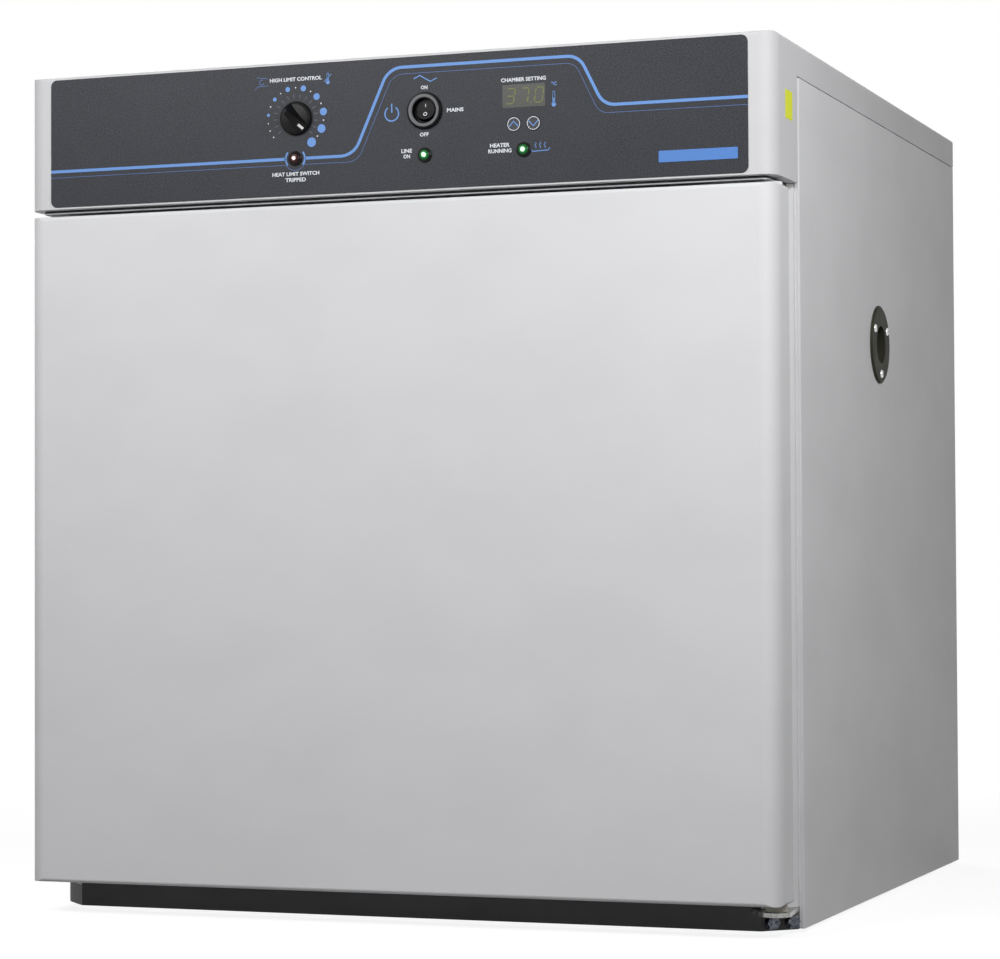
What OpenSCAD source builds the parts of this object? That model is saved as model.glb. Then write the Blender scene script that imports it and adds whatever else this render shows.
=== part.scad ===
// Bench-top incubator: painted cabinet with a control head, a solid door hinged on the right,
// a heated stainless chamber with two shelves, and an access port through the right side.
// Lengths are millimetres. Modules draw from the door's front face (y = 0) back and from the
// base pan (z = 0) up; stand() then moves them to the frame's origin on the floor.

/* [Cabinet] */
// Width over the painted cover
cabinet_w = 660; // [600:1:760]
// Depth from the door's front face to the cover's rear skirt
cabinet_d = 672; // [640:1:760]
// Height from the base pan to the top of the cover
cabinet_h = 709; // [680:1:800]
// Thickness of the steel sheets
sheet_t = 1.2; // [0.8:0.1:1.5]
// Radius of the upright corners of the door and the head
corner_r = 14; // [10:1:15]
// Bend radius of the folded outer edges
bend_r = 3; // [2:0.5:4]
// Distance from the door's front face back to the front frame
frame_setback = 43; // [42:1:50]
// Size of the front frame's cut-off corners
corner_cut = 28; // [26:1:34]
// How far each side panel's folded front edge stands past the cut corner
side_hem = 4; // [3:0.5:6]
// Height of the cover's skirt over the side and back panels
skirt_h = 26.5; // [22:0.5:34]
// Height of the dark kick plate
kick_h = 30; // [28:1:34]

/* [Feet] */
// Height of each rubber foot under the base pan
foot_h = 3; // [2:0.5:8]
// Diameter of each rubber foot
foot_d = 38; // [28:1:44]
// Distance of each foot's centre from the cabinet's sides and ends
foot_inset = 62; // [55:1:80]

/* [Insulated walls] */
// Side wall from the cover's outside to the chamber
side_wall = 60; // [54:1:72]
// Base pan to the chamber's floor
floor_wall = 70; // [64:1:80]
// Chamber's ceiling to the bottom of the head
ceiling_wall = 50; // [46:1:60]
// Chamber's back to the cover's rear skirt
back_wall = 129; // [120:1:150]
// Thickness of the chamber's stainless sheet
liner_t = 1; // [0.8:0.1:1.5]
// Radius of the chamber's coved corners
chamber_r = 12; // [8:1:20]
// Width of the plastic thermal break round the chamber's mouth
break_w = 10; // [8:1:14]
// Depth of the thermal break
break_d = 8; // [6:1:12]

/* [Door] */
// Bottom of the door above the base pan
door_z = 24; // [23:1:26]
// Gap between the top of the door and the head
door_gap = 6; // [6:0.5:10]
// Depth of the door's outer skin
door_d = 38; // [34:1:39]
// Width of the skin's folded rear edge
door_flange = 16; // [12:1:20]
// How far the door's inner panel stands proud of the skin
door_plug = 3; // [2:0.5:4]
// Width of the magnetic gasket
gasket_w = 14; // [10:1:16]
// Distance from the chamber's mouth to the gasket
gasket_margin = 4; // [2:1:5]
// Gap that the soft gasket keeps to the front frame
gasket_gap = 0.3; // [0.2:0.1:0.5]

/* [Hinges] */
// Distance of the hinge axis from the door's right edge
pivot_inset = 12; // [12:0.5:14]
// Distance of the hinge axis behind the door's front face
pivot_y = 30; // [28:0.5:30]
// Diameter of the hinge pins
pin_d = 7; // [5:0.5:8]
// Radial clearance between pin and bush
pin_fit = 0.05; // [0.02:0.01:0.08]
// How far each pin reaches into the door
pin_reach = 20; // [16:1:24]
// Outer diameter of the nylon bushes
bush_d = 12; // [11:0.5:12]
// Diameter of the lower bush's collar
collar_d = 18; // [17:0.5:20]
// Underside of the lower hinge plate above the base pan
hinge_plate_z = 14; // [13.5:0.1:14.5]
// Thickness of the lower hinge plate and its leg
hinge_plate_t = 3.5; // [3:0.1:4]
// Thickness of the upper hinge plate
top_plate_t = 2.5; // [2.3:0.1:2.6]
// Radius of the lower hinge plate's nose
nose_r = 11.8; // [9:0.1:12]
// Radius of the upper hinge plate's nose
top_nose_r = 9; // [7:0.5:11]
// Distance between the two hinge bolts
bolt_pitch = 18.5; // [17:0.5:19]
// Height of the hinge bolts above the base pan
bolt_z = 6.8; // [6.6:0.1:7]
// Thread diameter of the hinge bolts
bolt_d = 6; // [5:1:6]
// Width across the flats of the hinge bolts
bolt_af = 10; // [9:0.1:10.2]

/* [Control head] */
// Height of the control head
head_h = 113; // [105:1:125]
// Width of the folded edge under the head
head_flange = 20; // [14:1:24]
// How far the head's floor and seal are set in from its outline
floor_inset = 9; // [6:1:10]
// Thickness of the dark seal under the head
seal_h = 2; // [1.5:0.1:2]
// Thickness of the plate that closes the head
floor_t = 1; // [0.8:0.1:1]
// Depth of the plate that closes the head
floor_d = 170; // [150:1:220]
// Width of the overlay
overlay_w = 616; // [560:1:625]
// Height of the overlay
overlay_h = 109; // [100:0.5:110]
// Thickness of the overlay
overlay_t = 0.5; // [0.3:0.1:1]
// Radius of the overlay's corners
overlay_r = 5.5; // [3:0.5:10]
// Painted border under the overlay
overlay_border = 1.5; // [1:0.5:3]

/* [Controls] */
// Knob centre, to the left of the middle
knob_x = -79; // [-120:1:-70]
// Knob centre above the bottom of the head
knob_up = 65.5; // [58:0.5:72]
// Diameter of the knob
knob_d = 28; // [22:0.5:32]
// Length of the knob
knob_h = 16; // [12:0.5:22]
// Gap between the knob and the overlay
knob_gap = 0.7; // [0.5:0.1:0.9]
// Diameter of the thermostat's shaft
shaft_d = 6; // [5:0.5:8]
// Width of the knob's grip at its root
grip_w = 12; // [10:0.5:14]
// Angle of the knob's pointer, anticlockwise from the right
pointer_angle = -51; // [-60:1:-40]
// Switch centre, to the right of the middle
switch_x = 35.5; // [25:0.5:50]
// Switch centre above the bottom of the head
switch_up = 65.5; // [58:0.5:72]
// Outer diameter of the switch's bezel
switch_d = 30.5; // [29:0.5:34]
// Diameter of the rocker
rocker_d = 16; // [14:0.1:16.8]
// Full swing of the rocker in degrees
rocker_swing = 18; // [12:1:24]
// Display centre, to the right of the middle
display_x = 121.2; // [115:0.1:130]
// Display centre above the bottom of the head
display_up = 73; // [70:0.5:78]
// Width of the display window
display_w = 37; // [34:0.5:44]
// Height of the display window
display_h = 19; // [16:0.5:22]
// Diameter of the two buttons
button_d = 11.6; // [9:0.1:12.5]
// Distance between the two buttons
button_pitch = 16.8; // [15:0.1:20]
// Buttons above the bottom of the head
button_up = 50.2; // [46:0.1:52]
// Travel of each button
button_travel = 0.8; // [0.5:0.1:1.2]
// Lamps above the bottom of the head
lamp_up = 29.2; // [24:0.1:32]
// Alarm lamp's centre, to the left of the middle
alarm_x = -80; // [-120:1:-70]
// Alarm lamp above the other lamps
alarm_rise = 3; // [0:0.1:4]
// Outer diameter of a lamp's bezel
lamp_d = 12.2; // [10:0.1:14]

/* [Access port] */
// Port centre in front of the chamber's back
port_back = 196; // [150:1:240]
// Port centre below the chamber's ceiling
port_drop = 61; // [46:1:90]
// Bore of the port's tube
port_bore = 33; // [25:0.5:40]
// Wall of the port's tube
port_wall = 1.5; // [1:0.1:2]
// Diameter of the port's flange
port_flange_d = 69; // [66:0.5:80]
// Thickness of the port's flange
port_flange_t = 2; // [1.5:0.1:3]
// Diameter of the circle of screws on the flange
port_screw_pcd = 52; // [50:0.5:56]

/* [Chamber fittings] */
// Depth of the slotted shelf standards
standard_d = 8; // [6:0.5:12]
// Width of the shelf standards
standard_w = 20; // [16:1:26]
// Distance between the slots of a standard
slot_pitch = 25.4; // [20:0.1:32]
// Standards' distance from the front and back of the chamber
standard_inset = 70; // [50:1:100]
// Thickness of the shelves' sheet
shelf_t = 1.2; // [0.8:0.1:2]
// Height of the shelves' folded edges
shelf_lip = 14; // [8:1:20]
// Slot of the standards that carries the lower shelf
lower_slot = 3; // [2:1:5]
// Slot of the standards that carries the upper shelf
upper_slot = 9; // [8:1:11]
// Gap between the shelves and the chamber's front and back
shelf_end_gap = 14; // [8:1:24]
// Height of the diffuser plate over the chamber's floor
diffuser_h = 32; // [28:1:40]
// Diameter of the heating element
heater_d = 8; // [6:0.5:10]
// Distance between the heating element's runs
heater_pitch = 70; // [60:1:76]

/* [Back] */
// Inlet's centre in from the cabinet's left side, seen from the front
inlet_inset = 94; // [70:1:130]
// Inlet's centre above the base pan
inlet_z = 96; // [80:1:140]
// Width of one vent slot
vent_w = 70; // [50:1:90]
// Height of one vent slot
vent_h = 4; // [3:0.5:5]
// Vent slots in each group
vent_count = 7; // [4:1:10]

/* [Hidden] */
$fn = 64;

// Clearance between seated pieces, and the overrun of a cut past a face
fit = 0.3;
over = 1;

// Cabinet
half_w = cabinet_w / 2;
head_z = cabinet_h - head_h;
skirt_z = cabinet_h - skirt_h;
lap_x = half_w - sheet_t;
frame_x = half_w - side_hem;
side_y = frame_setback + corner_cut - side_hem;
panel_y = side_y + 5;
panel_seam = 1;
panel_z = skirt_z - panel_seam;
frame_return = 20;
back_y = cabinet_d - 2 * sheet_t;
panel_lap = 16;
panel_top = skirt_z + panel_lap;
rear_flange = 18;
cover_screw_x = half_w - 70;
cover_screw_d = 4;
vent_x = half_w - 180;
inlet_x = inlet_inset - half_w;

// Head
floor_z = head_z - seal_h - floor_t;
seal_w = 8;
overlay_z = head_z + overlay_border;
knob_z = head_z + knob_up;
switch_z = head_z + switch_up;
display_z = head_z + display_up;
button_z = head_z + button_up;
lamp_z = head_z + lamp_up;
alarm_z = lamp_z + alarm_rise;
lamp_face = 1.5;
lens_rise = 2;
lamp_bore = lamp_d * 0.66;
button_proud = 0.4 + button_travel;
board_y = 16;
board_t = 1.6;
stem_end = 7.7;

// Chamber
chamber_w = cabinet_w - 2 * side_wall;
chamber_h = head_z - ceiling_wall - floor_wall;
chamber_y = frame_setback + break_d;
chamber_back = cabinet_d - back_wall;
chamber_top = floor_wall + chamber_h;
mouth_w = chamber_w + 2 * break_w;
mouth_h = chamber_h + 2 * break_w;
mouth_z = floor_wall - break_w;
insulation_back = chamber_back + 50;
insulation_z = door_z;
flange_w = break_w + 5;

// Door
door_top = head_z - door_gap;
door_h = door_top - door_z;
gasket_t = frame_setback - door_d - gasket_gap;
gasket_half = mouth_w / 2 + gasket_margin;
gasket_z = mouth_z - gasket_margin;
gasket_h = mouth_h + 2 * gasket_margin;

// Hinges
pivot_x = half_w - pivot_inset;
block_z = door_z + sheet_t;
block_h = pin_reach + 6;
block_w = 2 * (pivot_inset - bend_r - fit);
block_y = pivot_y - block_w / 2 - 3;
top_block_z = door_top - sheet_t - block_h;
leg_shift = 1;
leg_mid = (corner_cut - side_hem) / 2 + leg_shift;
leg_w = bolt_pitch + bolt_d + 1;
bolt_head_h = 5;
bolt_flange_t = 1.2;

// Controls
knob_back = -overlay_t - knob_gap;
knob_front = knob_back - knob_h;
slope_top = [knob_d * 0.29, knob_h * 0.5];
slope_foot = [knob_d * 0.46, knob_h * 0.14];
thermostat_y = sheet_t + 2;
thermostat_d = 34;
shaft_hold = 11;
knob_bore_h = 10;
rocker_r = rocker_d / 2;
rocker_pin_r = 1.5;
bezel_rise = 3;
ring_r = switch_d / 2 - 2;
ring_seat = 1.8;
recess_r = switch_d / 2 - 5;
recess_d = 3.1;
rocker_y = recess_d + rocker_pin_r + 0.4;
transformer_x = 120 - half_w;
transformer_y = side_y + 3;
capillary_y = 96;
bulb_len = 70;
bulb_d = 6;
bulb_drop = 12;

// Port
port_y = chamber_back - port_back;
port_z = chamber_top - port_drop;
port_out_r = port_bore / 2 + port_wall;
port_in_x = chamber_w / 2 - 1.5;
port_out_x = half_w + port_flange_t;

// Chamber fittings
diffuser_z = floor_wall + diffuser_h;
standard_z = diffuser_z + 8;
standard_h = floor((chamber_top - standard_z - 10) / slot_pitch) * slot_pitch;
standard_ys = [chamber_y + standard_inset, chamber_back - standard_inset - standard_w];
shelf_w = chamber_w - 2 * standard_d - 2;
shelf_y = chamber_y + shelf_end_gap;
shelf_depth = chamber_back - shelf_end_gap - shelf_y;
clip_t = 2;
heater_z = floor_wall + diffuser_h / 2;
heater_runs = 4;
probe_x = 90;
probe_z = chamber_top - 20;
probe_r = 3;
probe_gland_r = 7;

// Envelope, for the origin
inlet_flange_t = 1.2;
inlet_w = 28;
inlet_h = 24;
screw_head_h = 1.8;
front_reach = -knob_front;
back_reach = screw_head_h + max(inlet_flange_t - sheet_t, 0);
origin_y = (cabinet_d + back_reach - front_reach) / 2;

paint = "#DCDDE0";
steel = "#C4C6C8";
charcoal = "#4A4B50";
black = "#1C1C1E";

// Moves a piece from the cabinet's own lines to the origin on the floor
module stand() { translate([0, -origin_y, foot_h]) children(); }

// Profile drawn in y and z, extruded across the width
module along_x(len) { rotate([90, 0, 90]) linear_extrude(len, center = true) children(); }

// Profile drawn in x and z, extruded from y0 back to y1
module along_y(y0, y1) { translate([0, y1, 0]) rotate([90, 0, 0]) linear_extrude(y1 - y0) children(); }

// Cylinder that runs from front to back, from y0 to y1
module rod_y(x, z, r, y0, y1) { translate([x, y0, z]) rotate([-90, 0, 0]) cylinder(r = r, h = y1 - y0); }

// Cylinder that runs across, from x0 to x1
module rod_x(y, z, r, x0, x1) { translate([x0, y, z]) rotate([0, 90, 0]) cylinder(r = r, h = x1 - x0); }

// What a rounded corner at the origin removes from the positive quadrant
module corner_waste(r) {
    difference() {
        translate([-over, -over]) square(r + over);
        translate([r, r]) circle(r);
    }
}

// Rectangle with four rounded corners, centred on x, standing on y
module rounded_rect(w, h, r) {
    difference() {
        translate([-w / 2, 0]) square([w, h]);
        for (sx = [0, 1], sz = [0, 1])
            mirror([sx, 0]) translate([-w / 2, sz * h]) mirror([0, sz]) corner_waste(r);
    }
}

// Plan with its two front corners rounded, inset by s from the cabinet's front outline
module front_plan(s, depth, r) {
    difference() {
        translate([-half_w + s, s]) square([cabinet_w - 2 * s, depth - s]);
        for (sx = [0, 1])
            mirror([sx, 0]) translate([-half_w + s, s]) corner_waste(r);
    }
}

// Plan of the cabinet's body with its cut-off front corners, inset by s
module body_plan(s, depth) {
    k = s * (sqrt(2) - 1);
    side = frame_x - s;
    nose = half_w - corner_cut - k;
    polygon([[-side, depth], [-side, side_y + k], [-nose, frame_setback + s],
        [nose, frame_setback + s], [side, side_y + k], [side, depth]]);
}

// Block on the rounded plan whose upper edges are bent, inset by s
module cover_block(s, depth, low, high) {
    r = max(bend_r - s, 0.2);
    intersection() {
        translate([0, 0, low]) linear_extrude(high - low) front_plan(s, depth, corner_r - s);
        along_x(cabinet_w) difference() {
            translate([s, low]) square([depth, high - low]);
            translate([s, high]) mirror([0, 1]) corner_waste(r);
        }
        along_y(0, depth + over) difference() {
            translate([-half_w, low]) square([cabinet_w, high - low]);
            for (sx = [0, 1])
                mirror([sx, 0]) translate([-half_w + s, high]) mirror([0, 1]) corner_waste(r);
        }
    }
}

// Holes that the controls need in a front sheet
module control_holes(y0, y1) {
    rod_y(knob_x, knob_z, shaft_d / 2 + 2.2, y0, y1);
    rod_y(switch_x, switch_z, switch_d / 2 - 3.5, y0, y1);
    rod_y(display_x - button_pitch / 2, button_z, button_d / 2 + fit, y0, y1);
    rod_y(display_x + button_pitch / 2, button_z, button_d / 2 + fit, y0, y1);
    rod_y(alarm_x, alarm_z, lamp_bore / 2 + fit, y0, y1);
    rod_y(switch_x, lamp_z, lamp_bore / 2 + fit, y0, y1);
    rod_y(display_x, lamp_z, lamp_bore / 2 + fit, y0, y1);
    along_y(y0, y1) translate([display_x, display_z - display_h / 2])
        rounded_rect(display_w, display_h, 1);
}

// Round screw head with its shank, pointing along +z
module pan_screw(head_r, shank_r, len) {
    rotate_extrude() polygon([[0, -len], [shank_r, -len], [shank_r, 0], [head_r, 0],
        [head_r, screw_head_h * 0.45], [head_r * 0.7, screw_head_h], [0, screw_head_h]]);
}

module top_cover() {
    color(paint) difference() {
        union() {
            cover_block(0, side_y, head_z, cabinet_h);
            intersection() {
                cover_block(0, cabinet_d, skirt_z, cabinet_h);
                translate([-half_w, 0, skirt_z]) cube([cabinet_w, cabinet_d, skirt_h]);
            }
        }
        cover_block(sheet_t, side_y + over, head_z + sheet_t, cabinet_h - sheet_t);
        cover_block(sheet_t, cabinet_d - sheet_t, skirt_z + sheet_t, cabinet_h - sheet_t);
        translate([-lap_x, side_y, skirt_z - over])
            cube([2 * lap_x, cabinet_d - sheet_t - side_y, sheet_t + 2 * over]);
        translate([0, 0, head_z - over]) linear_extrude(sheet_t + 2 * over)
            front_plan(head_flange, side_y + over, corner_r / 2);
        control_holes(-over, sheet_t + over);
        cover_screw_places() cylinder(d = cover_screw_d + 0.2, h = 3 * sheet_t, center = true);
    }
}

module cover_screw_places() {
    for (x = [-1, -0.35, 0.35, 1])
        translate([x * cover_screw_x, cabinet_d, skirt_z + panel_lap / 2]) rotate([-90, 0, 0]) children();
}

module cover_screws() {
    color(steel) cover_screw_places() pan_screw(cover_screw_d, cover_screw_d / 2, 4 * sheet_t);
}

module control_overlay() {
    color(charcoal) difference() {
        along_y(-overlay_t, 0) translate([0, overlay_z]) rounded_rect(overlay_w, overlay_h, overlay_r);
        control_holes(-overlay_t - over, over);
    }
}

module head_seal() {
    color(black) translate([0, 0, head_z - seal_h]) linear_extrude(seal_h) difference() {
        front_plan(floor_inset, side_y, corner_r - floor_inset);
        front_plan(floor_inset + seal_w, side_y + over, 2);
    }
}

module head_floor() {
    color(steel) difference() {
        translate([0, 0, floor_z]) linear_extrude(floor_t)
            front_plan(floor_inset, floor_d, corner_r - floor_inset);
        translate([knob_x, capillary_y, floor_z - over]) cylinder(r = 2, h = floor_t + 2 * over);
        translate([0, 0, floor_z - over]) hinge_screw_places() cylinder(r = 2.1, h = floor_t + 2 * over);
    }
}

// Right side panel, its top set in to lap behind the skirt; the left one is its mirror image
module side_panel() {
    difference() {
        union() {
            along_y(panel_y, back_y + sheet_t) polygon([[lap_x, 0], [half_w, 0], [half_w, panel_z],
                [lap_x, panel_z], [lap_x, panel_top], [lap_x - sheet_t, panel_top],
                [lap_x - sheet_t, panel_z - sheet_t], [lap_x, panel_z - sheet_t]]);
            translate([frame_x, panel_y, 0]) cube([side_hem, sheet_t, panel_z]);
            translate([lap_x - rear_flange, back_y - sheet_t, 0]) cube([rear_flange, sheet_t, panel_top]);
        }
        translate([half_w, panel_y, -over]) linear_extrude(cabinet_h) mirror([1, 0]) corner_waste(1.5);
    }
}

module left_side_panel() { color(paint) mirror([1, 0, 0]) side_panel(); }

module right_side_panel() {
    color(paint) difference() {
        side_panel();
        rod_x(port_y, port_z, port_out_r + fit, half_w - 2 * sheet_t, half_w + over);
        port_screw_places() cylinder(r = 1.6, h = 20, center = true);
    }
}

module back_panel() {
    color(paint) difference() {
        translate([-lap_x + sheet_t, back_y, 0]) cube([2 * (lap_x - sheet_t), sheet_t, panel_top]);
        along_y(back_y - over, cabinet_d) {
            translate([inlet_x, inlet_z - inlet_h / 2 - fit])
                rounded_rect(inlet_w + 2 * fit, inlet_h + 2 * fit, 2);
            for (side = [-1, 1], i = [0 : vent_count - 1])
                translate([side * vent_x, panel_top - 60 - i * 3 * vent_h])
                    rounded_rect(vent_w, vent_h, vent_h / 2 - 0.01);
        }
        inlet_screw_places() cylinder(r = 1.6, h = 10, center = true);
        cover_screw_places() cylinder(d = cover_screw_d + 0.2, h = 12, center = true);
    }
}

module base_pan() {
    start = side_y + frame_return;
    run = back_y - 2 * sheet_t - start;
    color(steel) difference() {
        union() {
            linear_extrude(sheet_t) body_plan(sheet_t, start);
            translate([-lap_x, start, 0]) cube([2 * lap_x, run, sheet_t]);
            for (s = [0, 1]) mirror([s, 0, 0])
                translate([lap_x - sheet_t, start, 0]) cube([sheet_t, run, 16]);
        }
        foot_places() cylinder(r = 2.5, h = 4 * sheet_t, center = true);
    }
}

module foot_places() {
    for (x = [-1, 1], y = [side_y + foot_inset - 30, cabinet_d - foot_inset])
        translate([x * (half_w - foot_inset), y, 0]) children();
}

module feet() {
    r = foot_d / 2;
    color(black) foot_places() rotate_extrude()
        polygon([[0, 2.4 * sheet_t], [2.4, 2.4 * sheet_t], [2.4, 0], [r, 0], [r - 1, -foot_h],
            [5, -foot_h], [4, 0.5 - foot_h], [0, 0.5 - foot_h]]);
}

// Upright sheet that follows the front of the body and turns back inside the side panels
module front_wrap(low, high) {
    translate([0, 0, low]) linear_extrude(high - low) difference() {
        body_plan(0, side_y + frame_return);
        body_plan(sheet_t, side_y + frame_return + over);
    }
}

module front_frame() {
    color(paint) difference() {
        union() {
            front_wrap(kick_h, floor_z);
            along_y(frame_setback, chamber_y - over) translate([0, mouth_z - sheet_t])
                rounded_rect(mouth_w + 2 * sheet_t, mouth_h + 2 * sheet_t, chamber_r + sheet_t);
        }
        along_y(frame_setback - over, chamber_y + over) translate([0, mouth_z])
            rounded_rect(mouth_w, mouth_h, chamber_r);
    }
}

module kick_plate() {
    color(black) difference() {
        front_wrap(0, kick_h);
        translate([0, 0, hinge_plate_z - fit]) linear_extrude(hinge_plate_t + 2 * fit)
            hinge_nose(fit, 4 * sheet_t);
        hinge_bolt_places() cylinder(r = bolt_d / 2 + fit, h = 6 * sheet_t, center = true);
    }
}

module chamber_profile(s) {
    translate([0, floor_wall - s]) rounded_rect(chamber_w + 2 * s, chamber_h + 2 * s, chamber_r + s);
}

module chamber_liner() {
    color(steel) difference() {
        union() {
            along_y(chamber_y, chamber_back + liner_t) chamber_profile(liner_t);
            along_y(chamber_y, chamber_y + liner_t) chamber_profile(flange_w);
        }
        along_y(chamber_y - over, chamber_back) chamber_profile(0);
        rod_x(port_y, port_z, port_out_r + fit, 0, chamber_w);
        rod_y(probe_x, probe_z, probe_r + fit, chamber_back - over, chamber_back + 2 * over);
        heater_ends() rod_y(0, 0, heater_d / 2 + fit, chamber_back - over, chamber_back + 2 * over);
        translate([knob_x, capillary_y, chamber_top - over]) cylinder(r = 1.5, h = 4 * over);
    }
}

module thermal_break() {
    color("#8C8E90") along_y(frame_setback, chamber_y) difference() {
        translate([0, mouth_z]) rounded_rect(mouth_w, mouth_h, chamber_r);
        chamber_profile(0);
    }
}

module cabinet_insulation() {
    color("#D9C27A") difference() {
        intersection() {
            translate([0, 0, insulation_z]) linear_extrude(floor_z - fit - insulation_z)
                body_plan(sheet_t + fit, insulation_back);
            translate([-half_w, chamber_y + liner_t + fit, 0]) cube([cabinet_w, cabinet_d, cabinet_h]);
        }
        along_y(0, chamber_back + liner_t + fit) chamber_profile(liner_t + fit);
        rod_x(port_y, port_z, port_out_r + fit, 0, half_w);
        rod_y(probe_x, probe_z, probe_r + 2, chamber_back, cabinet_d);
        heater_ends() rod_y(0, 0, heater_d / 2 + 1, chamber_back, cabinet_d);
        translate([knob_x, capillary_y, chamber_top]) cylinder(r = 1.5, h = cabinet_h - chamber_top);
    }
}

// Slotted channel on the right wall, open towards the wall
module shelf_standard() {
    x = chamber_w / 2 - standard_d;
    difference() {
        translate([x, 0, standard_z]) cube([standard_d, standard_w, standard_h]);
        translate([x + 1.5, 1.5, standard_z - over])
            cube([standard_d, standard_w - 3, standard_h + 2 * over]);
        for (i = [0 : round(standard_h / slot_pitch) - 1])
            translate([x - over, standard_w / 2 - 6, standard_z + (i + 0.5) * slot_pitch - 1.6])
                cube([1.5 + 2 * over, 12, 3.2]);
    }
}

module shelf_standards() {
    color(steel) for (s = [0, 1], y = standard_ys) mirror([s, 0, 0]) translate([0, y, 0]) shelf_standard();
}

function shelf_z(slot) = standard_z + (slot + 0.5) * slot_pitch + clip_t / 2;

// Bent tab that hooks through one slot and carries a shelf's edge
module shelf_clip(slot) {
    x = chamber_w / 2 - standard_d;
    z = shelf_z(slot) - clip_t;
    translate([x - 16, standard_w / 2 - 5, z]) cube([16 + 3.5, 10, clip_t]);
    translate([x - clip_t, standard_w / 2 - 5, z - 12]) cube([clip_t, 10, 12 + clip_t]);
    translate([x + 2, standard_w / 2 - 5, z]) cube([clip_t, 10, 7]);
}

module shelf_clips() {
    color(steel) for (s = [0, 1], y = standard_ys, slot = [lower_slot, upper_slot])
        mirror([s, 0, 0]) translate([0, y, 0]) shelf_clip(slot);
}

// Perforated sheet with slots in a grid, its front and back edges folded down
module slotted_tray(w, depth, lip, cols, rows, slot_len, slot_w) {
    step_x = (w - 40) / cols;
    step_y = (depth - 40) / rows;
    difference() {
        union() {
            translate([-w / 2, 0, 0]) cube([w, depth, shelf_t]);
            for (y = [0, depth - shelf_t]) translate([-w / 2 + 20, y, -lip]) cube([w - 40, shelf_t, lip]);
            for (y = [shelf_t, depth - shelf_t - 8])
                translate([-w / 2 + 20, y, -lip]) cube([w - 40, 8, shelf_t]);
        }
        for (i = [0 : cols - 1], j = [0 : rows - 1])
            translate([-w / 2 + 20 + (i + 0.5) * step_x, 20 + (j + 0.5) * step_y - slot_len / 2, -over])
                linear_extrude(shelf_t + 2 * over) rounded_rect(slot_w, slot_len, slot_w / 2 - 0.01);
    }
}

module shelf(slot) {
    color(steel) translate([0, shelf_y, shelf_z(slot)])
        slotted_tray(shelf_w, shelf_depth, shelf_lip, 12, 7, 44, 9);
}

module upper_shelf() { shelf(upper_slot); }

module lower_shelf() { shelf(lower_slot); }

module diffuser_plate() {
    color(steel) difference() {
        translate([0, chamber_y + 6, diffuser_z])
            slotted_tray(chamber_w - 2, chamber_back - chamber_y - 12, diffuser_h - fit, 10, 5, 14, 14);
        heater_ends() rod_y(0, 0, heater_d / 2 + 1, chamber_back - 40, chamber_back);
    }
}

module heater_ends() {
    for (s = [-1, 1])
        translate([s * heater_pitch * (heater_runs - 1) / 2, 0, heater_z]) children();
}

// Tube in parallel runs joined by half-round bends, both ends through the chamber's back
module heating_element() {
    r = heater_d / 2;
    bend = heater_pitch / 2;
    front = chamber_y + 60 + bend;
    rear = chamber_back - 40 - bend;
    first = -heater_pitch * (heater_runs - 1) / 2;
    color("#4B4A4C") {
        for (i = [0 : heater_runs - 1]) {
            outer = i == 0 || i == heater_runs - 1;
            rod_y(first + i * heater_pitch, heater_z, r, front, outer ? chamber_back + 30 : rear);
        }
        for (i = [0 : heater_runs - 2])
            translate([first + (i + 0.5) * heater_pitch, i % 2 == 0 ? front : rear, heater_z])
                rotate([0, 0, i % 2 == 0 ? 180 : 0]) rotate_extrude(angle = 180)
                    translate([bend, 0]) circle(r);
    }
}

module temperature_probe() {
    color(steel) {
        rod_y(probe_x, probe_z, probe_r, chamber_back - 55, chamber_back + 60);
        translate([probe_x, chamber_back, probe_z]) rotate([90, 0, 0]) cylinder(r = probe_gland_r, h = 6, $fn = 6);
    }
}

// Body of the over-temperature thermostat with a threaded bush for its shaft
module thermostat() {
    w = 36;
    color("#B9A98C") difference() {
        union() {
            translate([knob_x - w / 2, thermostat_y, knob_z - w / 2]) cube([w, thermostat_d, w]);
            rod_y(knob_x, knob_z, shaft_d / 2 + 4.5, sheet_t, thermostat_y + over);
        }
        rod_y(knob_x, knob_z, shaft_d / 2 + pin_fit, 0, thermostat_y + shaft_hold + fit);
    }
}

// Capillary from the thermostat through the ceiling to a bulb that lies along it
module limit_bulb() {
    r = 1;
    bulb_z = chamber_top - bulb_drop;
    start_y = thermostat_y + thermostat_d;
    bend = 6;
    color("#B87A4B") {
        rod_y(knob_x, knob_z, r, start_y, capillary_y - bend);
        translate([knob_x, capillary_y - bend, knob_z - bend]) rotate([0, -90, 0])
            rotate_extrude(angle = 90) translate([bend, 0]) circle(r);
        translate([knob_x, capillary_y, bulb_z + bend]) cylinder(r = r, h = knob_z - bulb_z - 2 * bend);
        translate([knob_x, capillary_y + bend, bulb_z + bend]) rotate([0, 90, 0]) rotate([0, 0, -90])
            rotate_extrude(angle = 90) translate([bend, 0]) circle(r);
        rod_y(knob_x, bulb_z, bulb_d / 2, capillary_y + bend, capillary_y + bend + bulb_len);
    }
}

module bulb_clip() {
    bulb_z = chamber_top - bulb_drop;
    y = capillary_y + 40;
    color(steel) difference() {
        union() {
            translate([knob_x - 5, y, bulb_z]) cube([10, 10, bulb_drop]);
            rod_y(knob_x, bulb_z, 5, y, y + 10);
        }
        rod_y(knob_x, bulb_z, bulb_d / 2 + 0.05, y - over, y + 11);
    }
}

module thermostat_shaft() {
    color(steel) rod_y(knob_x, knob_z, shaft_d / 2, knob_back - knob_bore_h + fit, thermostat_y + shaft_hold);
}

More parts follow.
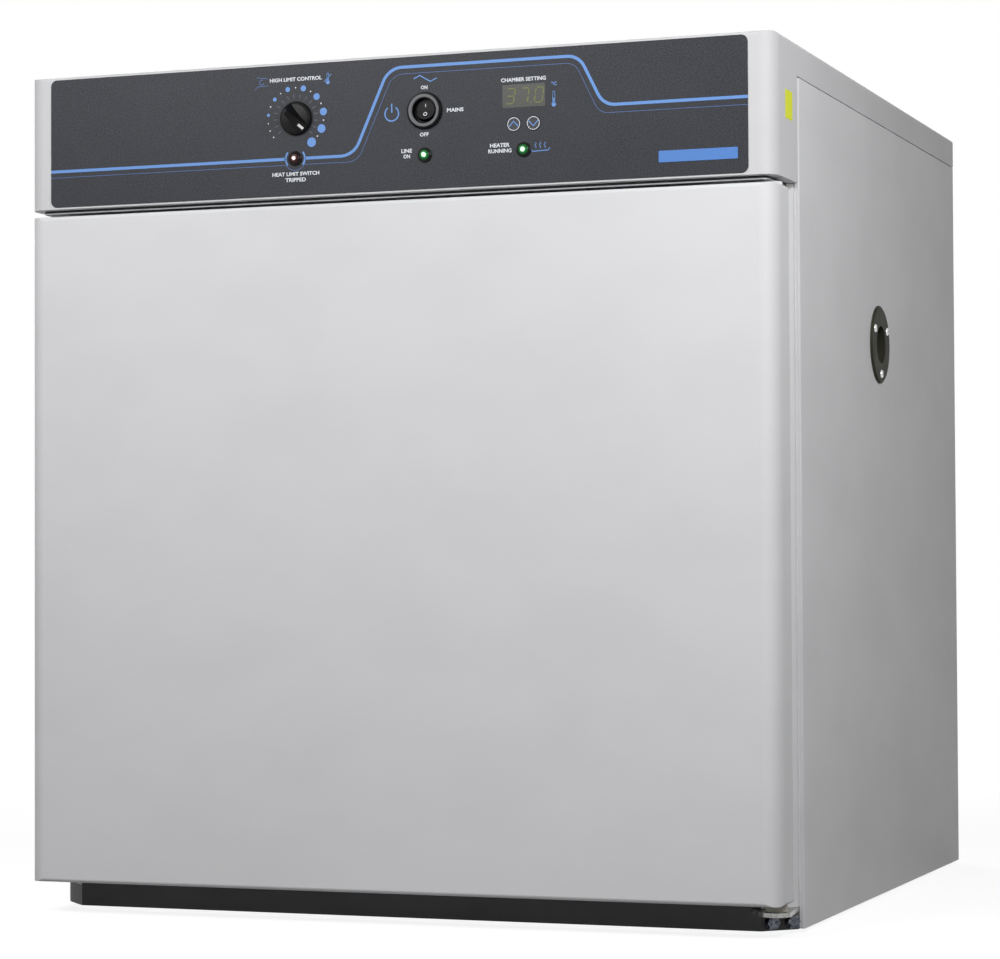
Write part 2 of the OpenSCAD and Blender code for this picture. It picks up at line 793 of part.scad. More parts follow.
module thermostat_knob() {
    r = knob_d / 2;
    color(black) difference() {
        translate([knob_x, knob_back, knob_z]) rotate([90, 0, 0]) union() {
            rotate_extrude() polygon([[0, 0], [r, 0], [r, 1.2], [r - 0.6, 2.4], [r - 2.6, 3.4], [0, 5]]);
            rotate([0, 0, pointer_angle]) intersection() {
                cylinder(r = r - 0.8, h = knob_h + over);
                along_x(knob_d) polygon([[-grip_w / 2, 0], [grip_w / 2, 0],
                    [1.5, knob_h + over], [-1.5, knob_h + over]]);
                across_grip(knob_d) polygon([[-r * 0.88, 1], [-r * 0.84, knob_h * 0.22], [-r * 0.52, knob_h - 1.2],
                    [-r * 0.45, knob_h], [-r * 0.3, knob_h], [0, knob_h * 0.88], slope_top, slope_foot, [r, 1]]);
            }
        }
        rod_y(knob_x, knob_z, shaft_d / 2 + 0.02, knob_back - knob_bore_h, over);
        knob_inlay(0.05, over);
    }
}

// Side view of the grip, x along the pointer and y out from the panel, given a width
module across_grip(w) { rotate([90, 0, 0]) linear_extrude(w, center = true) children(); }

// Strip let into the grip's front slope, standing out of it by rise
module knob_inlay(gap, rise) {
    run = (slope_foot - slope_top) / norm(slope_foot - slope_top);
    out = [-run[1], run[0]];
    first = slope_top + run * (0.3 - gap);
    last = slope_foot - run * (1 - gap);
    translate([knob_x, knob_back, knob_z]) rotate([90, 0, 0]) rotate([0, 0, pointer_angle])
        across_grip(2.2 + 2 * gap)
            polygon([first + out * rise, last + out * rise, last - out * (1 + gap), first - out * (1 + gap)]);
}

module knob_pointer() { color("white") knob_inlay(0, 0); }

// Round housing with a raised bezel and a deep recess, where a low collar surrounds the rocker
module switch_housing() {
    r = switch_d / 2;
    color(black) difference() {
        union() {
            translate([switch_x, 0, switch_z]) rotate([90, 0, 0]) rotate_extrude()
                polygon([[recess_r, overlay_t], [r, overlay_t], [r, bezel_rise * 0.6],
                    [r - 0.9, bezel_rise + 0.2], [ring_r, bezel_rise + overlay_t],
                    [ring_r, ring_seat], [recess_r, ring_seat]]);
            difference() {
                rod_y(switch_x, switch_z, r - 4, -overlay_t - 1, 24);
                rod_y(switch_x, switch_z, recess_r, -5, recess_d);
            }
            rod_y(switch_x, switch_z, rocker_r + 1.4, recess_d - 1.4, recess_d + 1);
        }
        rod_y(switch_x, switch_z, rocker_r + 0.9, -5, 13);
        rod_x(rocker_y, switch_z, rocker_pin_r + 0.1, switch_x - rocker_r - 2.4, switch_x + rocker_r + 2.4);
    }
}

module switch_ring() {
    bore = recess_r + 0.5;
    color("#6E6F72") translate([switch_x, 0, switch_z]) rotate([90, 0, 0]) rotate_extrude()
        polygon([[bore, ring_seat], [ring_r - 0.02, ring_seat], [ring_r - 0.02, bezel_rise + overlay_t],
            [bore + 0.4, bezel_rise + overlay_t], [bore, bezel_rise]]);
}

// Disc with a shallow valley across its face, rocked about two side pivots
module power_rocker() {
    color(black) translate([switch_x, rocker_y, switch_z]) rotate([-rocker_swing / 2, 0, 0]) {
        intersection() {
            sphere(r = rocker_r + 1.3);
            rotate([90, 0, 0]) cylinder(r = rocker_r, h = 40, center = true);
            rocker_section();
        }
        rod_x(0, 0, rocker_pin_r, -rocker_r - 2, rocker_r + 2);
    }
}

// Body of the rocker between its two sloping halves in front and a flat back
module rocker_section() {
    along_x(2 * rocker_r + 2)
        polygon([[5, -12], [5, 12], [-5.6, 12], [-3.6, 0], [-5.6, -12]]);
}

module display_window() {
    color("#5A5A58") along_y(-overlay_t, sheet_t) translate([display_x, display_z - display_h / 2 + 0.1])
        rounded_rect(display_w - 0.2, display_h - 0.2, 0.9);
}

module display_module() {
    color(black) translate([display_x - display_w / 2 + 1, sheet_t + fit, display_z - display_h / 2])
        cube([display_w - 2, board_y - sheet_t - fit, display_h]);
}

// Circuit board on four pillars behind the head's face, with a switch behind each button
module control_board() {
    w = 146;
    h = 84;
    z = head_z + 12;
    key = stem_end + button_travel + fit;
    color("#2F6B3C") {
        translate([display_x - w / 2, board_y, z]) cube([w, board_t, h]);
        for (x = [-1, 1], t = [6, h - 6])
            rod_y(display_x + x * (w / 2 - 7), z + t, 3, sheet_t, board_y + board_t + 2);
        for (x = [-1, 1]) translate([display_x + x * button_pitch / 2 - 3, key, button_z - 3])
            cube([6, board_y - key, 6]);
        for (x = [-50, 40]) translate([display_x + x, board_y, z + 20]) cube([18, 18, 28]);
    }
}

module transformer() {
    color("#70645A") translate([transformer_x, transformer_y, floor_z + floor_t]) {
        cube([70, 56, 8]);
        translate([5, 4, 8]) cube([60, 48, 42]);
        translate([16, -2, 14]) cube([38, 60, 30]);
    }
}

// Round key with a stem behind it that meets the switch on the board
module button(x) {
    r = button_d / 2;
    color("#3E3F44") translate([x, 0, button_z]) rotate([90, 0, 0]) rotate_extrude()
        polygon([[0, -stem_end], [2, -stem_end], [2, -sheet_t - 2.4], [r + 1.4, -sheet_t - 1.6],
            [r + 1.4, -sheet_t - 0.2], [r, -sheet_t - 0.2],
            [r, button_proud - 0.4], [r - 0.4, button_proud], [0, button_proud]]);
}

module up_button() { button(display_x - button_pitch / 2); }

module down_button() { button(display_x + button_pitch / 2); }

module lamp_bezel() {
    r = lamp_d / 2;
    b = lamp_bore / 2;
    rotate([90, 0, 0]) rotate_extrude()
        polygon([[b - 1.2, -9], [b, -9], [b, overlay_t], [r, overlay_t], [r, overlay_t + lamp_face * 0.5],
            [r - 0.8, overlay_t + lamp_face], [r - 1.1, overlay_t + lamp_face], [b - 1.2, overlay_t + 0.2]]);
}

module lamp_lens() {
    r = lamp_d / 2 - 1.15;
    b = lamp_bore / 2 - 1.2;
    face = overlay_t + lamp_face;
    rotate([90, 0, 0]) rotate_extrude()
        polygon([[0, -7], [b - 0.05, -7], [b - 0.05, overlay_t + 0.2], [r, face],
            [r * 0.9, face + lens_rise * 0.45], [r * 0.6, face + lens_rise * 0.85], [0, face + lens_rise]]);
}

module lamp_bezels() {
    color(black) {
        translate([alarm_x, 0, alarm_z]) lamp_bezel();
        translate([switch_x, 0, lamp_z]) lamp_bezel();
        translate([display_x, 0, lamp_z]) lamp_bezel();
    }
}

module alarm_lens() { color("#7A1F22") translate([alarm_x, 0, alarm_z]) lamp_lens(); }

module power_lens() { color("#1F9A45") translate([switch_x, 0, lamp_z]) lamp_lens(); }

module heating_lens() { color("#1F9A45") translate([display_x, 0, lamp_z]) lamp_lens(); }

module port_screw_places() {
    for (a = [30, 150, 270])
        translate([port_out_x, port_y + port_screw_pcd / 2 * cos(a), port_z + port_screw_pcd / 2 * sin(a)])
            rotate([0, 90, 0]) children();
}

module port_flange() {
    r = port_flange_d / 2;
    hole = port_out_r + 0.02;
    color(steel) difference() {
        translate([half_w, port_y, port_z]) rotate([0, 90, 0]) rotate_extrude()
            polygon([[hole, 0], [r, 0], [r, port_flange_t * 0.4], [r - port_flange_t, port_flange_t],
                [hole, port_flange_t]]);
        port_screw_places() cylinder(r = 1.6, h = 20, center = true);
    }
}

module port_tube() {
    color(steel) difference() {
        rod_x(port_y, port_z, port_out_r, port_in_x, port_out_x);
        rod_x(port_y, port_z, port_bore / 2, port_in_x - over, port_out_x + over);
    }
}

module port_inner_ring() {
    x = chamber_w / 2;
    color(steel) difference() {
        rod_x(port_y, port_z, port_out_r + 9, x - 1.5, x);
        rod_x(port_y, port_z, port_out_r + 0.02, x - 2 * over - 1, x + over);
    }
}

module port_screws() { color("#E8E8EA") port_screw_places() pan_screw(3.6, 1.5, port_flange_t + sheet_t + 2); }

module inlet_screw_places() {
    for (s = [-1, 1])
        translate([inlet_x + s * 20, back_y + sheet_t, inlet_z]) rotate([-90, 0, 0]) children();
}

// Three-blade inlet: flange on the back panel, body inside, deep socket
module power_inlet() {
    y = back_y + sheet_t;
    color(black) difference() {
        union() {
            along_y(y, y + inlet_flange_t) translate([inlet_x, inlet_z - inlet_h / 2 - 2])
                rounded_rect(50, inlet_h + 4, 5);
            along_y(y - 22, y) translate([inlet_x, inlet_z - inlet_h / 2]) rounded_rect(inlet_w, inlet_h, 1.5);
        }
        along_y(y - 18, y + over + inlet_flange_t) translate([inlet_x, inlet_z - 8.5]) rounded_rect(24.5, 17, 3);
        inlet_screw_places() cylinder(r = 1.6, h = 10, center = true);
    }
    color("#C9A24A") for (p = [[-7, -2.5], [0, 2.5], [7, -2.5]])
        translate([inlet_x + p[0] - 1, y - 19, inlet_z + p[1] - 2]) cube([2, 15, 4]);
}

module inlet_screws() {
    color(steel) inlet_screw_places() translate([0, 0, inlet_flange_t]) pan_screw(3, 1.5, 6);
}

// Block on the door's outline, inset by s, with all its outer edges bent
module door_block(s, depth) {
    r = max(bend_r - s, 0.2);
    intersection() {
        translate([0, 0, door_z + s]) linear_extrude(door_h - 2 * s) front_plan(s, depth, corner_r - s);
        along_x(cabinet_w) difference() {
            translate([s, door_z + s]) square([depth, door_h - 2 * s]);
            translate([s, door_z + s]) corner_waste(r);
            translate([s, door_top - s]) mirror([0, 1]) corner_waste(r);
        }
        along_y(0, depth + over) translate([0, door_z + s])
            rounded_rect(cabinet_w - 2 * s, door_h - 2 * s, r);
    }
}

// Holes for both bushes in whatever the door has round them
module bush_holes() {
    translate([pivot_x, pivot_y, door_z - over]) cylinder(d = bush_d + 0.04, h = block_h + 2 * over);
    translate([pivot_x, pivot_y, top_block_z]) cylinder(d = bush_d + 0.04, h = block_h + sheet_t + over);
}

module door_skin() {
    opening = half_w - door_flange;
    color(paint) difference() {
        door_block(0, door_d);
        door_block(sheet_t, door_d - sheet_t);
        along_y(door_d - 3 * sheet_t, door_d + over)
            translate([0, door_z + door_flange]) rounded_rect(2 * opening, door_h - 2 * door_flange, 4);
        bush_holes();
    }
}

// Inner panel: a tray set in the skin's rear opening, its middle pressed proud
module door_liner() {
    opening = half_w - door_flange - fit;
    step = 30;
    t = liner_t;
    color(steel) difference() {
        union() {
            along_y(door_d - sheet_t, door_d) translate([0, door_z + door_flange + fit])
                rounded_rect(2 * opening, door_h - 2 * (door_flange + fit), 4);
            along_y(door_d, door_d + door_plug) translate([0, door_z + door_flange + step + 14])
                rounded_rect(2 * (opening - step - 14), door_h - 2 * (door_flange + step + 14), chamber_r);
        }
        along_y(door_d - sheet_t - over, door_d + door_plug - t)
            translate([0, door_z + door_flange + step + 14 + t])
                rounded_rect(2 * (opening - step - 14 - t), door_h - 2 * (door_flange + step + 14 + t), chamber_r - t);
    }
}

module door_insulation() {
    s = sheet_t + fit;
    color("#D9C27A") difference() {
        door_block(s, door_d - sheet_t - fit);
        for (z = [door_z, top_block_z - fit])
            translate([pivot_x - block_w / 2 - fit, 0, z])
                cube([cabinet_w, door_d + over, block_h + sheet_t + fit]);
    }
}

// Ring with a soft lip and a groove, on the door's inner panel
module door_gasket() {
    lip = gasket_w / 3;
    color("#9C9EA2") difference() {
        along_y(door_d, door_d + gasket_t) gasket_profile(0, gasket_w);
        along_y(door_d + gasket_t * 0.6, door_d + gasket_t + over) gasket_profile(lip, lip);
    }
}

module gasket_profile(inner, w) {
    half = gasket_half + inner;
    low = gasket_z - inner;
    difference() {
        translate([0, low - w]) rounded_rect(2 * (half + w), gasket_h + 2 * (inner + w), 8 + w);
        translate([0, low]) rounded_rect(2 * half, gasket_h + 2 * inner, 8);
    }
}

module door_hinge_blocks() {
    color(steel) difference() {
        for (z = [block_z, top_block_z])
            translate([pivot_x - block_w / 2, block_y, z])
                cube([block_w, door_d - sheet_t - fit - block_y, block_h]);
        bush_holes();
    }
}

module door_bushes() {
    plate_top = hinge_plate_z + hinge_plate_t;
    bore = pin_d / 2 + pin_fit;
    color("#E9E7DF") {
        translate([pivot_x, pivot_y, 0]) difference() {
            union() {
                translate([0, 0, plate_top + fit]) cylinder(d = collar_d, h = door_z - plate_top - fit);
                translate([0, 0, door_z - over]) cylinder(d = bush_d, h = over + sheet_t + block_h - 1);
            }
            translate([0, 0, plate_top]) cylinder(r = bore, h = cabinet_h);
        }
        translate([pivot_x, pivot_y, top_block_z + 1]) difference() {
            cylinder(d = bush_d, h = block_h + sheet_t - 1);
            translate([0, 0, -over]) cylinder(r = bore, h = block_h + sheet_t + 2 * over);
        }
    }
}

// Half of a hinge plate's plan: the triangle from its nose round the pivot to one root on the cabinet
module nose_flank(r, root, side) {
    to = root - [pivot_x, pivot_y];
    a = atan2(to[1], to[0]) + side * acos(r / norm(to));
    polygon([[pivot_x, pivot_y], root, [pivot_x + r * cos(a), pivot_y + r * sin(a)]]);
}

// Plan of the lower hinge plate, grown by s and cut off at a depth inside the cut corner
module hinge_nose(s, inside) {
    left = [half_w - corner_cut - 8 - s, frame_setback + s];
    right = [frame_x, side_y];
    deep = inside * sqrt(2);
    translate([pivot_x, pivot_y]) circle(nose_r + s);
    nose_flank(nose_r + s, left, 1);
    nose_flank(nose_r + s, right, -1);
    polygon([[pivot_x, pivot_y], right, [right[0], right[1] + deep], [left[0], left[1] + deep], left]);
}

// Places for the leg that stands behind the kick plate on the cut corner
module on_cut_corner(depth) {
    translate([half_w - corner_cut + leg_mid, frame_setback + leg_mid, 0])
        rotate([0, 0, 45]) translate([0, depth, 0]) children();
}

module hinge_bolt_places() {
    for (s = [-1, 1])
        on_cut_corner(0) translate([s * bolt_pitch / 2, 0, bolt_z]) rotate([90, 0, 0]) children();
}

module bottom_hinge_bracket() {
    color("#A9ABAE") difference() {
        union() {
            translate([0, 0, hinge_plate_z]) linear_extrude(hinge_plate_t) difference() {
                hinge_nose(0, sheet_t + hinge_plate_t);
                translate([lap_x - sheet_t, side_y]) square(cabinet_d);
            }
            on_cut_corner(sheet_t) translate([-leg_w / 2, 0, sheet_t + fit])
                cube([leg_w, hinge_plate_t, hinge_plate_z - sheet_t - fit + hinge_plate_t]);
        }
        translate([pivot_x, pivot_y, 0]) cylinder(d = pin_d + 0.04, h = door_z);
        hinge_bolt_places() cylinder(d = bolt_d + 0.04, h = 60, center = true);
    }
}

module hinge_screw_places() {
    for (x = [-16, -29, -42])
        translate([pivot_x + x, pivot_y + 2, 0]) children();
}

module top_hinge_bracket() {
    low = floor_z - top_plate_t;
    color("#A9ABAE") difference() {
        translate([0, 0, low]) linear_extrude(top_plate_t) union() {
            translate([pivot_x, pivot_y]) circle(top_nose_r);
            translate([pivot_x - 50, pivot_y - 5]) square([50, frame_setback - fit - pivot_y + 5]);
        }
        translate([pivot_x, pivot_y, low - over]) cylinder(d = pin_d + 0.04, h = top_plate_t + 2 * over);
        translate([0, 0, low - over]) hinge_screw_places() cylinder(r = 2.02, h = top_plate_t + 2 * over);
        translate([0, 0, low - 0.01]) hinge_screw_places() cylinder(r1 = 3.9, r2 = 2, h = 1.9);
    }
}

module hinge_pins() {
    color(steel) translate([pivot_x, pivot_y, 0]) {
        translate([0, 0, hinge_plate_z]) cylinder(d = pin_d, h = door_z - hinge_plate_z + pin_reach);
        translate([0, 0, door_top - pin_reach]) cylinder(d = pin_d, h = floor_z - door_top + pin_reach);
    }
}

module hinge_bolts() {
    color("#6A6E78") hinge_bolt_places() {
        cylinder(d = bolt_af / cos(30), h = bolt_head_h, $fn = 6);
        cylinder(d = bolt_af + 1.8, h = bolt_flange_t);
        translate([0, 0, -14]) cylinder(d = bolt_d, h = 14);
    }
}

module hinge_screws() {
    low = floor_z - top_plate_t;
    color(steel) translate([0, 0, low]) hinge_screw_places() rotate_extrude()
        polygon([[0, 0], [3.85, 0], [2, 1.85], [2, top_plate_t + 6], [0, top_plate_t + 6]]);
}

stand() top_cover();
stand() control_overlay();
stand() head_seal();
stand() head_floor();
stand() left_side_panel();
stand() right_side_panel();
stand() back_panel();
stand() base_pan();
stand() front_frame();
stand() kick_plate();
stand() feet();
stand() chamber_liner();
stand() thermal_break();
stand() cabinet_insulation();
stand() shelf_standards();
stand() shelf_clips();
stand() upper_shelf();
stand() lower_shelf();
stand() diffuser_plate();
stand() heating_element();
stand() temperature_probe();
stand() thermostat();
stand() limit_bulb();
stand() bulb_clip();
stand() thermostat_shaft();
stand() thermostat_knob();
stand() knob_pointer();
stand() switch_housing();
stand() switch_ring();
stand() power_rocker();
stand() display_window();
stand() display_module();
stand() control_board();
stand() transformer();
stand() up_button();
stand() down_button();
stand() lamp_bezels();
stand() alarm_lens();
stand() power_lens();
stand() heating_lens();
stand() port_flange();
stand() port_tube();
stand() port_inner_ring();
stand() port_screws();
stand() power_inlet();
stand() inlet_screws();
stand() cover_screws();
stand() door_skin();
stand() door_liner();
stand() door_insulation();
stand() door_gasket();
stand() door_hinge_blocks();
stand() door_bushes();
stand() top_hinge_bracket();
stand() bottom_hinge_bracket();
stand() hinge_pins();
stand() hinge_bolts();
stand() hinge_screws();
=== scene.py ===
import math

import bmesh
import bpy
from mathutils import Matrix, Vector


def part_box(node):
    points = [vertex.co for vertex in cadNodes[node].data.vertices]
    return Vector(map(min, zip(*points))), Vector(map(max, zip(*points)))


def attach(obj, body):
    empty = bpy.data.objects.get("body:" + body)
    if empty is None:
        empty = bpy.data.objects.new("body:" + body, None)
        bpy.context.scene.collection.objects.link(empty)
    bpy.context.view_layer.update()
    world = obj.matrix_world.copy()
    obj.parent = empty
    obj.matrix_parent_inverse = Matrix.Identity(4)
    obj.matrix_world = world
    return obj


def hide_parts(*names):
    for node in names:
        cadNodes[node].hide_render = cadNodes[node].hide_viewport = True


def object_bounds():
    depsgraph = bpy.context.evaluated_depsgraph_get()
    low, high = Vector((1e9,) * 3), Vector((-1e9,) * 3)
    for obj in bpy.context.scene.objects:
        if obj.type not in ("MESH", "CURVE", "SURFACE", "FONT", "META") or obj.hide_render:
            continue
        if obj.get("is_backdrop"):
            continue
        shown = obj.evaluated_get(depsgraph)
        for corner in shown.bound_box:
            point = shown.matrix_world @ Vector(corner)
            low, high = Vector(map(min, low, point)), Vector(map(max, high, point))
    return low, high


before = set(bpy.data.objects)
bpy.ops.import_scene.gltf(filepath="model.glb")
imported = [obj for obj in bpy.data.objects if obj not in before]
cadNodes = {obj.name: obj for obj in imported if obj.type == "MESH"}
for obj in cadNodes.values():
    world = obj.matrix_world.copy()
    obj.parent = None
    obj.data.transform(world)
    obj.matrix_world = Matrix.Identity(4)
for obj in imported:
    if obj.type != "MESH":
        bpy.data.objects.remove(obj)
for leftover in ("Cube", "Light", "Camera"):  # what a new Blender file starts with
    if leftover in bpy.data.objects:
        bpy.data.objects.remove(bpy.data.objects[leftover], do_unlink=True)
cadBox = [list(corner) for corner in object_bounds()]
mm = 0.001
print("frame loaded,", len(cadNodes), "nodes")


# Small helpers for node trees

def toLinear(hexColour):
    values = [int(hexColour[i:i + 2], 16) / 255 for i in (1, 3, 5)]
    return tuple(v / 12.92 if v <= 0.04045 else ((v + 0.055) / 1.055) ** 2.4 for v in values) + (1.0,)


def addNode(tree, kind, settings=None, inputs=None, stops=None):
    # one node; a node given as an input is linked from its first output, and a hex colour is made linear
    node = tree.nodes.new(kind)
    for name, value in (settings or {}).items():
        setattr(node, name, value)
    pairs = inputs.items() if isinstance(inputs, dict) else enumerate(inputs or ())
    for key, value in pairs:
        if isinstance(value, bpy.types.Node):
            value = value.outputs[0]
        if isinstance(value, bpy.types.NodeSocket):
            tree.links.new(value, node.inputs[key])
        else:
            node.inputs[key].default_value = toLinear(value) if isinstance(value, str) else value
    for i, (at, colour) in enumerate(stops or ()):
        if i > 1:
            node.color_ramp.elements.new(at)
        node.color_ramp.elements[i].position = at
        node.color_ramp.elements[i].color = toLinear(colour)
    return node


def startMaterial(name):
    # an empty material, its tree and the object's own coordinates
    material = bpy.data.materials.new(name)
    material.use_nodes = True
    tree = material.node_tree
    tree.nodes.clear()
    return material, tree, addNode(tree, "ShaderNodeTexCoord").outputs["Object"]


def endMaterial(material, surface):
    addNode(material.node_tree, "ShaderNodeOutputMaterial", inputs=[surface])
    return material


# Finishes, each named for what the real one is, or for the painted light or shade it carries. Noise scales
# are 1000 / size in mm.

def powderCoat(name, light, dark, peelMm=1.8, peelDepth=0.02, rough=0.52):
    # baked epoxy powder on steel: a soft sheen, faint orange peel and slight handling smudges
    material, tree, place = startMaterial(name)
    upright = addNode(tree, "ShaderNodeMapping", inputs={"Vector": place, "Scale": (1, 1, 1.6)})
    smudges = addNode(tree, "ShaderNodeTexNoise", inputs={"Vector": upright, "Scale": 1000 / 90, "Detail": 3})
    peel = addNode(tree, "ShaderNodeTexNoise", inputs={"Vector": place, "Scale": 1000 / peelMm, "Detail": 1})
    return endMaterial(material, addNode(tree, "ShaderNodeBsdfPrincipled", inputs={
        "Base Color": addNode(tree, "ShaderNodeValToRGB", inputs=[smudges],
                              stops=[(0.35, dark), (0.62, light)]),
        "Roughness": addNode(tree, "ShaderNodeMapRange",
                             inputs=[smudges, 0.3, 0.7, rough + 0.02, rough - 0.02]),
        "Normal": addNode(tree, "ShaderNodeBump", inputs={"Height": peel, "Distance": peelDepth * mm}),
        "Specular IOR Level": 0.25}))


def moulded(name, light, dark, rough=0.45, sparkMm=0.6, depth=0.015, ior=1.49, gloss=0.5):
    # injection moulded plastic: fine spark-eroded texture, slightly uneven sheen
    material, tree, place = startMaterial(name)
    flow = addNode(tree, "ShaderNodeTexNoise", inputs={"Vector": place, "Scale": 1000 / 25})
    spark = addNode(tree, "ShaderNodeTexNoise",
                    inputs={"Vector": place, "Scale": 1000 / sparkMm, "Detail": 1})
    return endMaterial(material, addNode(tree, "ShaderNodeBsdfPrincipled", inputs={
        "Base Color": addNode(tree, "ShaderNodeValToRGB", inputs=[flow], stops=[(0.35, dark), (0.65, light)]),
        "Roughness": addNode(tree, "ShaderNodeMapRange",
                             inputs=[spark, 0.3, 0.7, rough - 0.05, rough + 0.06]),
        "Normal": addNode(tree, "ShaderNodeBump", inputs={"Height": spark, "Distance": depth * mm}),
        "IOR": ior, "Specular IOR Level": gloss}))


def brushedMetal(name, light, dark, along=(0.02, 1, 1), lineMm=0.5, rough=0.3, depth=0.01):
    # rolled and brushed sheet: long fine lines one way, which stretch its highlights
    material, tree, place = startMaterial(name)
    drawnOut = addNode(tree, "ShaderNodeMapping", inputs={"Vector": place, "Scale": along})
    lines = addNode(tree, "ShaderNodeTexNoise", inputs={"Vector": drawnOut, "Scale": 1000 / lineMm})
    cloud = addNode(tree, "ShaderNodeTexNoise", inputs={"Vector": place, "Scale": 1000 / 60})
    tone = addNode(tree, "ShaderNodeValToRGB", inputs=[cloud], stops=[(0.1, dark), (0.9, light)])
    streak = addNode(tree, "ShaderNodeValToRGB", inputs=[lines], stops=[(0.3, "#EEEEEE"), (0.7, "#FFFFFF")])
    both = addNode(tree, "ShaderNodeMix", {"data_type": "RGBA", "blend_type": "MULTIPLY"},
                   {0: 1.0, 6: tone, 7: streak}).outputs[2]
    return endMaterial(material, addNode(tree, "ShaderNodeBsdfPrincipled", inputs={
        "Base Color": both, "Metallic": 1.0,
        "Roughness": addNode(tree, "ShaderNodeMapRange",
                             inputs=[lines, 0.3, 0.7, rough - 0.06, rough + 0.08]),
        "Normal": addNode(tree, "ShaderNodeBump", inputs={"Height": lines, "Distance": depth * mm})}))


def platedMetal(name, light, dark, crystalMm=5, rough=0.38, depth=0.006, metallic=1.0):
    # zinc or oxide on steel: a patchwork of dull crystals, each with its own tone
    material, tree, place = startMaterial(name)
    crystals = addNode(tree, "ShaderNodeTexVoronoi", inputs={"Vector": place, "Scale": 1000 / crystalMm})
    shade = addNode(tree, "ShaderNodeSeparateColor", inputs=[crystals.outputs["Color"]])
    grain = addNode(tree, "ShaderNodeTexNoise", inputs={"Vector": place, "Scale": 1000 / 0.8})
    return endMaterial(material, addNode(tree, "ShaderNodeBsdfPrincipled", inputs={
        "Base Color": addNode(tree, "ShaderNodeValToRGB", inputs=[shade], stops=[(0, dark), (1, light)]),
        "Roughness": addNode(tree, "ShaderNodeMapRange", inputs=[shade, 0, 1, rough - 0.07, rough + 0.08]),
        "Normal": addNode(tree, "ShaderNodeBump", inputs={"Height": grain, "Distance": depth * mm}),
        "Metallic": metallic}))


def printedInk(name, colour, shade, glow=0.0, gloss=0.3):
    # ink or vinyl: flat, with a fine texture, and a glow for what is lit, which on the white pad printing is
    # a painted highlight
    material, tree, place = startMaterial(name)
    grain = addNode(tree, "ShaderNodeTexNoise", inputs={"Vector": place, "Scale": 1000 / 0.7, "Detail": 1})
    return endMaterial(material, addNode(tree, "ShaderNodeBsdfPrincipled", inputs={
        "Base Color": addNode(tree, "ShaderNodeValToRGB", inputs=[grain],
                              stops=[(0.3, shade), (0.7, colour)]),
        "Roughness": addNode(tree, "ShaderNodeMapRange", inputs=[grain, 0.3, 0.7, 0.36, 0.5]),
        "Normal": addNode(tree, "ShaderNodeBump", inputs={"Height": grain, "Distance": 0.006 * mm}),
        "Specular IOR Level": gloss, "Emission Color": colour, "Emission Strength": glow}))


def speckledFilm(name, light, dark, speck):
    # polyester overlay, printed behind: charcoal with fine blue-grey flecks under a satin face
    material, tree, place = startMaterial(name)
    flecks = addNode(tree, "ShaderNodeTexNoise", inputs={"Vector": place, "Scale": 1000 / 1.1, "Detail": 3})
    broad = addNode(tree, "ShaderNodeTexNoise", inputs={"Vector": place, "Scale": 1000 / 40})
    ground = addNode(tree, "ShaderNodeValToRGB", inputs=[broad], stops=[(0.3, dark), (0.7, light)])
    fleck = addNode(tree, "ShaderNodeMapRange", inputs=[flecks, 0.42, 0.72, 0.0, 1.0])
    both = addNode(tree, "ShaderNodeMix", {"data_type": "RGBA"}, {0: fleck, 6: ground, 7: speck}).outputs[2]
    satin = addNode(tree, "ShaderNodeTexNoise", inputs={"Vector": place, "Scale": 1000 / 0.5, "Detail": 1})
    return endMaterial(material, addNode(tree, "ShaderNodeBsdfPrincipled", inputs={
        "Base Color": both, "Specular IOR Level": 0.25,
        "Roughness": addNode(tree, "ShaderNodeMapRange", inputs=[satin, 0.3, 0.7, 0.4, 0.52]),
        "Normal": addNode(tree, "ShaderNodeBump", inputs={"Height": satin, "Distance": 0.01 * mm})}))


def mineralWool(name, light, dark):
    # pressed glass fibre: matted strands of a few millimetres, dull all over
    material, tree, place = startMaterial(name)
    clumps = addNode(tree, "ShaderNodeTexNoise", inputs={"Vector": place, "Scale": 1000 / 9, "Detail": 3})
    layered = addNode(tree, "ShaderNodeMapping", inputs={"Vector": place, "Scale": (1, 1, 4)})
    strands = addNode(tree, "ShaderNodeTexNoise",
                      inputs={"Vector": layered, "Scale": 1000 / 2.2, "Detail": 4})
    mixed = addNode(tree, "ShaderNodeMath", {"operation": "MULTIPLY"}, [clumps, strands])
    return endMaterial(material, addNode(tree, "ShaderNodeBsdfPrincipled", inputs={
        "Base Color": addNode(tree, "ShaderNodeValToRGB", inputs=[mixed], stops=[(0.12, dark), (0.4, light)]),
        "Normal": addNode(tree, "ShaderNodeBump", inputs={"Height": strands, "Distance": 1.2 * mm}),
        "Roughness": 0.95}))


def laminatedIron(name, light, dark):
    # varnished transformer stack: its laminations drawn as light and dark bands, so that they show; a wave
    # texture has its own measure, and this scale repeats about every 10 mm
    material, tree, place = startMaterial(name)
    plates = addNode(tree, "ShaderNodeTexWave", {"bands_direction": "Z"},
                     {"Vector": place, "Scale": 31.25, "Distortion": 0.4}).outputs["Fac"]
    varnish = addNode(tree, "ShaderNodeTexNoise", inputs={"Vector": place, "Scale": 1000 / 12, "Detail": 3})
    return endMaterial(material, addNode(tree, "ShaderNodeBsdfPrincipled", inputs={
        "Base Color": addNode(tree, "ShaderNodeValToRGB", inputs=[plates], stops=[(0.2, dark), (0.8, light)]),
        "Roughness": addNode(tree, "ShaderNodeMapRange", inputs=[varnish, 0.3, 0.7, 0.3, 0.55]),
        "Normal": addNode(tree, "ShaderNodeBump", inputs={"Height": plates, "Distance": 0.08 * mm}),
        "Metallic": 0.3}))


